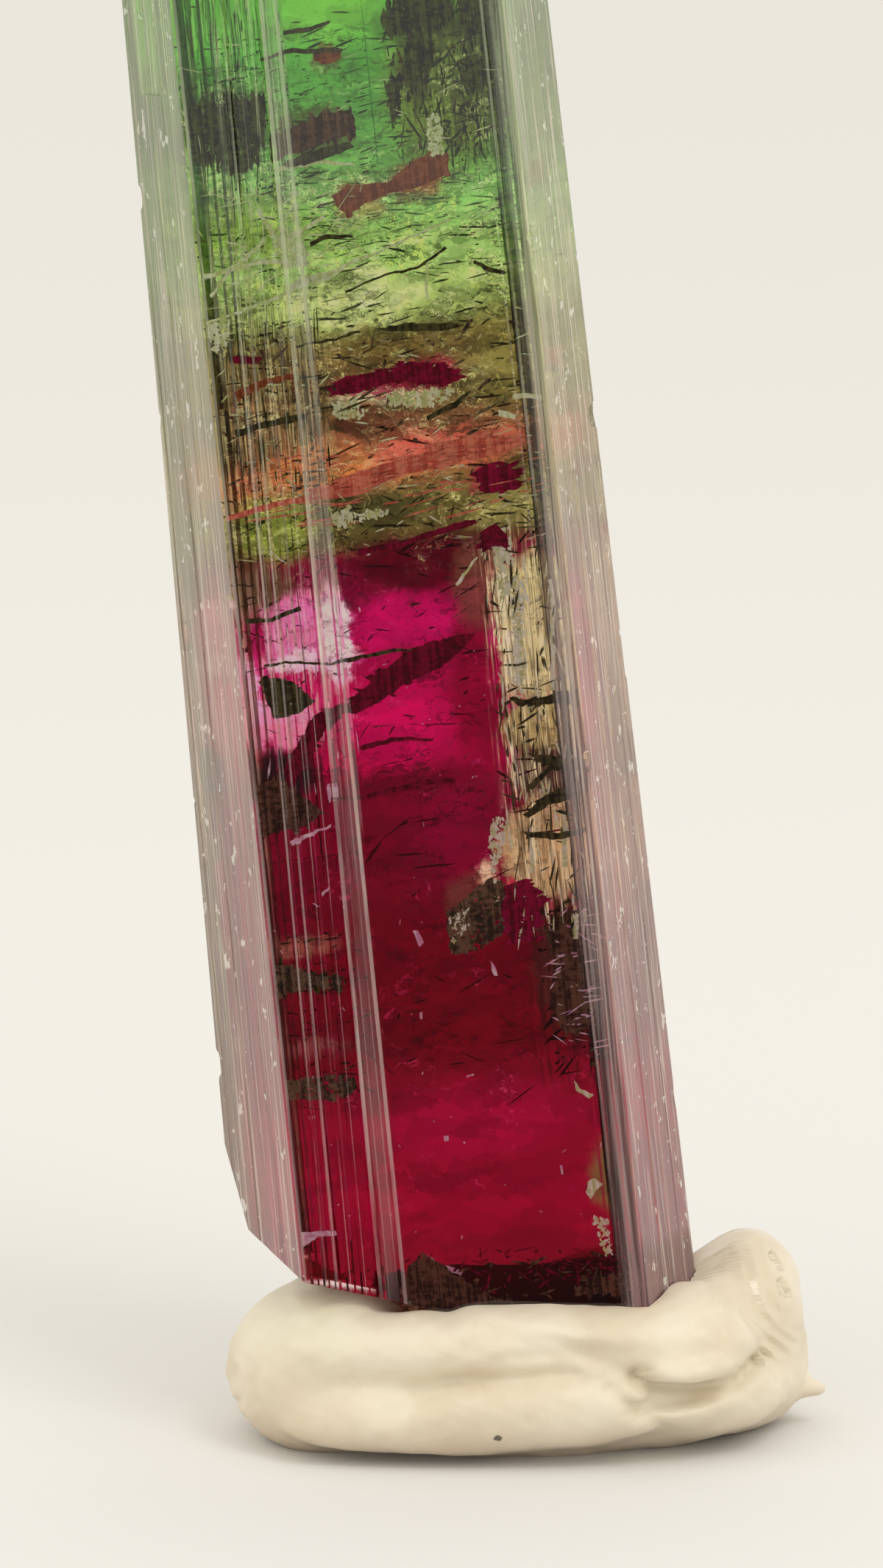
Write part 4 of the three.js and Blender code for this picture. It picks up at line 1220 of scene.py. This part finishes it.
def crystal_material(name):
    """Clear tourmaline, pale where the grooved narrow faces and the ribs scatter light."""
    shader = Shader(name)
    own = shader.own()
    x, _, z = shader.split(own)
    colour = shader.up_crystal(z, CLEAR_TONES)
    across = across_face(shader, x, z)
    out = shader.math("ABSOLUTE", shader.math("SUBTRACT", across, 0.5))
    sides = shader.step(out, 0.496, 0.506)
    streak = shader.noise(own, detail=3.0, stretch=(2.2, 2.2, 0.035), roughness=0.6)
    fine = shader.noise(own, detail=1.0, stretch=(11.0, 11.0, 0.06))
    thread = shader.noise(own, detail=2.0, stretch=(8.0, 8.0, 0.05), roughness=0.6)
    frost = shader.math("MULTIPLY_ADD", shader.step(streak, 0.3, 0.66), 0.3, 0.35)
    frost = shader.math("MULTIPLY_ADD", shader.step(thread, 0.5, 0.6), 0.3, frost)
    frost = shader.math("MULTIPLY", sides, frost)
    margin = shader.math("MULTIPLY", shader.step(x, 5.7, 6.4), shader.step(z, 14.0, 24.0))
    margin = shader.math("MULTIPLY_ADD", margin, 0.5, shader.step(x, 6.1, 6.9))
    uneven = shader.math("MULTIPLY_ADD", shader.step(thread, 0.45, 0.55), 0.42, 0.2)
    frost = shader.math("MAXIMUM", frost, shader.math("MULTIPLY", margin, uneven))
    uneven = shader.step(shader.noise(own, stretch=(2.0, 2.0, 0.12)), 0.3, 0.62)
    for foot, drift, half, strength in RIB_FROST:
        middle = shader.math("MULTIPLY_ADD", z, drift, foot)
        away = shader.math("ABSOLUTE", shader.math("SUBTRACT", x, middle))
        line = shader.math("MULTIPLY", shader.step(away, half, half * 0.5), strength)
        frost = shader.math("MAXIMUM", frost, shader.math("MULTIPLY", line, uneven))
    speck = shader.noise(own, detail=3.0, stretch=(1.6, 1.6, 0.9), roughness=0.75)
    nick = shader.math("MULTIPLY", sides, shader.step(speck, 0.62, 0.65))
    frost = shader.math("MAXIMUM", frost, nick)
    tone = shader.up_crystal(z, FROST_TONES)
    outer = shader.math("MULTIPLY", shader.step(across, -0.07, -0.16), 0.9)
    tone = shader.mix(outer, tone, srgb(178, 184, 150))
    # Painted shade: the right-hand narrow faces are painted a darker olive.
    right = shader.math("MULTIPLY", shader.step(across, 1.0, 1.07), 0.4)
    tone = shader.mix(right, tone, srgb(130, 126, 98))
    ruby = shader.math("MULTIPLY", shader.step(across, 0.96, 1.0), shader.step(z, 18.0, 8.0))
    tone = shader.mix(shader.math("MULTIPLY", ruby, 0.45), tone, srgb(160, 60, 78))
    tone = shader.mix(shader.step(thread, 0.55, 0.64), tone, srgb(232, 218, 204))
    tone = shader.mix(nick, tone, srgb(244, 240, 228))
    colour = shader.mix(frost, colour, tone)
    surface = shader.surface.inputs
    shader.put(surface["Base Color"], colour)
    surface["Roughness"].default_value = 0.03
    surface["IOR"].default_value = 1.62
    clear = shader.math("SUBTRACT", 1.0, shader.math("MULTIPLY", frost, 0.6))
    shader.put(surface["Transmission Weight"], clear)
    surface["Specular IOR Level"].default_value = 0.35
    both = shader.math("MULTIPLY", fine, shader.math("MAXIMUM", sides, 0.12))
    groove = shader.node("Bump", {"Strength": 0.3, "Distance": 0.00004, "Height": both})
    shader.put(surface["Normal"], groove.outputs[0])
    volume = shader.node("VolumeAbsorption")
    volume.inputs["Color"].default_value = (0.8, 0.82, 0.7, 1)
    volume.inputs["Density"].default_value = 4.0
    shader.put(shader.output.inputs["Volume"], volume.outputs[0])
    return shader.material


def veil_material(name, dark, light, roughness):
    """A broken sheet: two tones in upright streaks and crumbs."""
    shader = Shader(name)
    own = shader.own()
    line = shader.noise(own, detail=4.0, stretch=(6.0, 3.0, 0.35), roughness=0.65)
    crumb = shader.noise(own, detail=5.0, stretch=(2.5, 2.5, 4.5), roughness=0.7)
    both = shader.math("MULTIPLY_ADD", crumb, 0.45, shader.math("MULTIPLY", line, 0.55))
    colour = shader.mix(shader.step(both, 0.44, 0.56), srgb(*dark), srgb(*light))
    shader.put(shader.surface.inputs["Base Color"], colour)
    shader.surface.inputs["Roughness"].default_value = roughness
    shader.surface.inputs["Specular IOR Level"].default_value = 0.5 if roughness < 0.35 else 0.0
    return shader.material


def putty_material(name):
    """Cream putty: cloudy, with a fine grain, dark grit, painted pink bounce light and shade towards
    the bottom, and a glossier licked-smooth lump.
    """
    shader = Shader(name)
    place = shader.node("TexCoord").outputs["Object"]
    inputs = {"Vector": place, "Scale": (1 / MM, 1 / MM, 1 / MM)}
    own = shader.node("Mapping", inputs).outputs[0]
    cloud = shader.noise(own, scale=0.26, detail=4.0)
    colour = shader.mix(shader.step(cloud, 0.35, 0.65), srgb(221, 206, 180), srgb(232, 221, 198))
    x, _, z = shader.split(own)
    green = shader.math("MULTIPLY", shader.step(x, -6.0, -9.0), shader.step(z, 3.0, 6.0))
    colour = shader.mix(shader.math("MULTIPLY", green, 0.5), colour, srgb(228, 226, 200))
    # Painted reflection and painted shade: pinker, darker colour towards the bottom, standing in for
    # pink bounce light from below.
    painted_bounce_and_shade = shader.math("MULTIPLY", shader.step(z, 2.6, 0.4), 0.35)
    colour = shader.mix(painted_bounce_and_shade, colour, srgb(214, 184, 158))
    for centre, radius in GRIT:
        ragged_place = shader.noise(own, scale=6.0, colour=True)
        moved = shader.vector("SUBTRACT", own, centre)
        moved = shader.vector("ADD", moved, shader.vector("MULTIPLY", ragged_place, (0.2, 0.2, 0.2)))
        moved = shader.vector("SUBTRACT", moved, (0.1, 0.1, 0.1))
        near = shader.step(shader.vector("LENGTH", moved), radius * 1.3, radius * 0.8)
        colour = shader.mix(shader.math("MULTIPLY", near, 0.85), colour, srgb(58, 44, 34))
    gloss = shader.math("MULTIPLY", shader.step(x, 7.0, 9.5), shader.step(z, 4.5, 7.0))
    surface = shader.surface.inputs
    shader.put(surface["Base Color"], colour)
    shader.put(surface["Roughness"], shader.math("MULTIPLY_ADD", gloss, -0.29, 0.44))
    grain = shader.noise(own, scale=2.6, detail=3.0)
    bumped = shader.node("Bump", {"Strength": 0.25, "Distance": 0.00008, "Height": grain})
    shader.put(surface["Normal"], bumped.outputs[0])
    return shader.material


def plain_material(name, colour, roughness):
    """One colour all over."""
    shader = Shader(name)
    shader.surface.inputs["Base Color"].default_value = colour
    shader.surface.inputs["Roughness"].default_value = roughness
    return shader.material


class CrystalSettings(bpy.types.PropertyGroup):
    """Values of the crystal"""

    steps: IntProperty(
        name="Steps", description="Divisions along the crystal's length", default=24, min=0
    )
    rind: FloatProperty(
        name="Rind",
        description="Clear rind between the crystal's faces and its coloured heart",
        default=0.0003,
        unit="LENGTH",
        subtype="DISTANCE",
    )


class PuttySettings(bpy.types.PropertyGroup):
    """Values of the putty"""

    around: IntProperty(name="Around", description="Divisions round the putty", default=380)
    rings: IntProperty(name="Rings", description="Divisions up the putty", default=210)


class StageSettings(bpy.types.PropertyGroup):
    """Values of the stage"""

    key_power: FloatProperty(
        name="Key light", description="Power of the main lamp", default=0.3, unit="POWER"
    )
    sky: FloatProperty(name="Sky", description="Brightness of the room", default=1.02)


class SPECIMEN_OT_crystal(bpy.types.Operator):
    """Builds the clear, striated outside of the crystal"""

    bl_idname = "specimen.crystal"
    bl_label = "Crystal"

    def execute(self, context):
        settings = context.scene.specimen_crystal
        piece = crystal_shape("tourmaline", crystal_material("tourmaline"), settings.steps)
        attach(piece, BODY)
        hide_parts("crystal")
        return {"FINISHED"}


class SPECIMEN_OT_zones(bpy.types.Operator):
    """Builds the coloured heart inside the crystal"""

    bl_idname = "specimen.zones"
    bl_label = "Colour zones"

    def execute(self, context):
        rind = context.scene.specimen_crystal.rind / MM
        material = zone_material("zones")
        piece = heart_shape("heart", material, rind, context.scene.specimen_crystal.steps)
        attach(piece, BODY)
        return {"FINISHED"}


class SPECIMEN_OT_veils(bpy.types.Operator):
    """Builds the fractures, the flashes of painted reflection and the foreign crystals inside the
    crystal
    """

    bl_idname = "specimen.veils"
    bl_label = "Fractures and inclusions"

    def execute(self, context):
        for kind, sheets in VEILS:
            material = veil_material(kind, *VEIL_COLOURS[kind])
            look = VEIL_LOOKS[kind]
            swarms = SWARMS.get(kind, ())
            piece = veil_shape(f"{kind}_veils", material, sheets, look, swarms, random.Random(7))
            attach(piece, BODY)
        return {"FINISHED"}


class SPECIMEN_OT_putty(bpy.types.Operator):
    """Builds the pressed lump of putty"""

    bl_idname = "specimen.putty"
    bl_label = "Putty"

    def execute(self, context):
        settings = context.scene.specimen_putty
        piece = putty_shape("pressed_putty", putty_material("putty"), settings.around, settings.rings)
        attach(piece, BODY)
        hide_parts("putty")
        return {"FINISHED"}


class SPECIMEN_OT_stage(bpy.types.Operator):
    """Sets the floor, the light and the camera"""

    bl_idname = "specimen.stage"
    bl_label = "Stage"

    def execute(self, context):
        settings = context.scene.specimen_stage
        build_floor()
        build_light(context.scene, settings)
        build_camera(context.scene)
        return {"FINISHED"}


def build_floor():
    """A wide pale sheet, and a dark card that only reflections see, as in a photo studio."""
    bm = bmesh.new()
    bmesh.ops.create_grid(bm, x_segments=1, y_segments=1, size=1.5)
    material = plain_material("floor", (0.8, 0.79, 0.77, 1), 0.9)
    material.node_tree.nodes["Principled BSDF"].inputs["Specular IOR Level"].default_value = 0.0
    floor = finish_mesh(bm, "floor", material)
    bm = bmesh.new()
    bmesh.ops.create_grid(bm, x_segments=1, y_segments=1, size=0.25)
    shift = Matrix.Translation((0, -0.2625, 0.0004))
    card = finish_mesh(bm, "dark_card", plain_material("card", (0.01, 0.01, 0.01, 1), 0.9), shift)
    card.visible_camera = False
    card.visible_diffuse = False
    card.visible_transmission = False
    card.visible_shadow = False


def build_light(scene, settings):
    """Even light all round, and two soft lamps."""
    world = bpy.data.worlds.new("room")
    scene.world = world
    world.use_nodes = True
    background = world.node_tree.nodes["Background"]
    background.inputs["Color"].default_value = (1.0, 0.97, 0.9, 1)
    background.inputs["Strength"].default_value = settings.sky
    for name, place, size, power in (
        ("key", (0.16, -0.2, 0.36), 0.14, settings.key_power),
        ("fill", (-0.3, -0.15, 0.3), 0.25, settings.key_power * 0.4),
    ):
        data = bpy.data.lights.new(name, "AREA")
        data.size = size
        data.energy = power
        lamp = bpy.data.objects.new(name, data)
        lamp.location = place
        aim = Vector((0, 0, 0.03)) - Vector(place)
        lamp.rotation_euler = aim.to_track_quat("-Z", "Y").to_euler()
        scene.collection.objects.link(lamp)


def build_camera(scene):
    """A long lens in front of the crystal, looking a little down on it, as in the photograph."""
    data = bpy.data.cameras.new("camera")
    data.sensor_fit = "VERTICAL"
    data.sensor_height = 36
    data.lens = 172.74
    data.clip_start = 0.01
    data.clip_end = 20
    camera = bpy.data.objects.new("camera", data)
    camera.location = Vector((-3.42, -318.56, 90.64)) * MM
    camera.rotation_euler = (math.radians(90 - 11), 0, 0)
    scene.collection.objects.link(camera)
    scene.camera = camera
    scene.view_settings.view_transform = "Standard"
    scene.cycles.max_bounces = 12
    scene.cycles.transmission_bounces = 12
    scene.cycles.diffuse_bounces = 2


class SPECIMEN_PT_panel(bpy.types.Panel):
    """Lists the pieces of the specimen"""

    bl_label = "Specimen"
    bl_space_type = "VIEW_3D"
    bl_region_type = "UI"
    bl_category = "Specimen"

    def draw(self, context):
        for operator in OPERATORS:
            self.layout.operator(operator.bl_idname)
        for group, names in (
            (context.scene.specimen_crystal, ("steps", "rind")),
            (context.scene.specimen_putty, ("around", "rings")),
            (context.scene.specimen_stage, ("key_power", "sky")),
        ):
            for name in names:
                self.layout.prop(group, name)


OPERATORS = (
    SPECIMEN_OT_crystal,
    SPECIMEN_OT_zones,
    SPECIMEN_OT_veils,
    SPECIMEN_OT_putty,
    SPECIMEN_OT_stage,
)
CLASSES = (CrystalSettings, PuttySettings, StageSettings, *OPERATORS, SPECIMEN_PT_panel)


def register():
    for cls in CLASSES:
        bpy.utils.register_class(cls)
    bpy.types.Scene.specimen_crystal = PointerProperty(type=CrystalSettings)
    bpy.types.Scene.specimen_putty = PointerProperty(type=PuttySettings)
    bpy.types.Scene.specimen_stage = PointerProperty(type=StageSettings)


def unregister():
    for name in ("specimen_crystal", "specimen_putty", "specimen_stage"):
        delattr(bpy.types.Scene, name)
    for cls in reversed(CLASSES):
        bpy.utils.unregister_class(cls)


def main():
    """Builds every piece and the stage."""
    register()
    for name in ("crystal", "zones", "veils", "putty", "stage"):
        getattr(bpy.ops.specimen, name)()


if __name__ == "__main__":
    main()
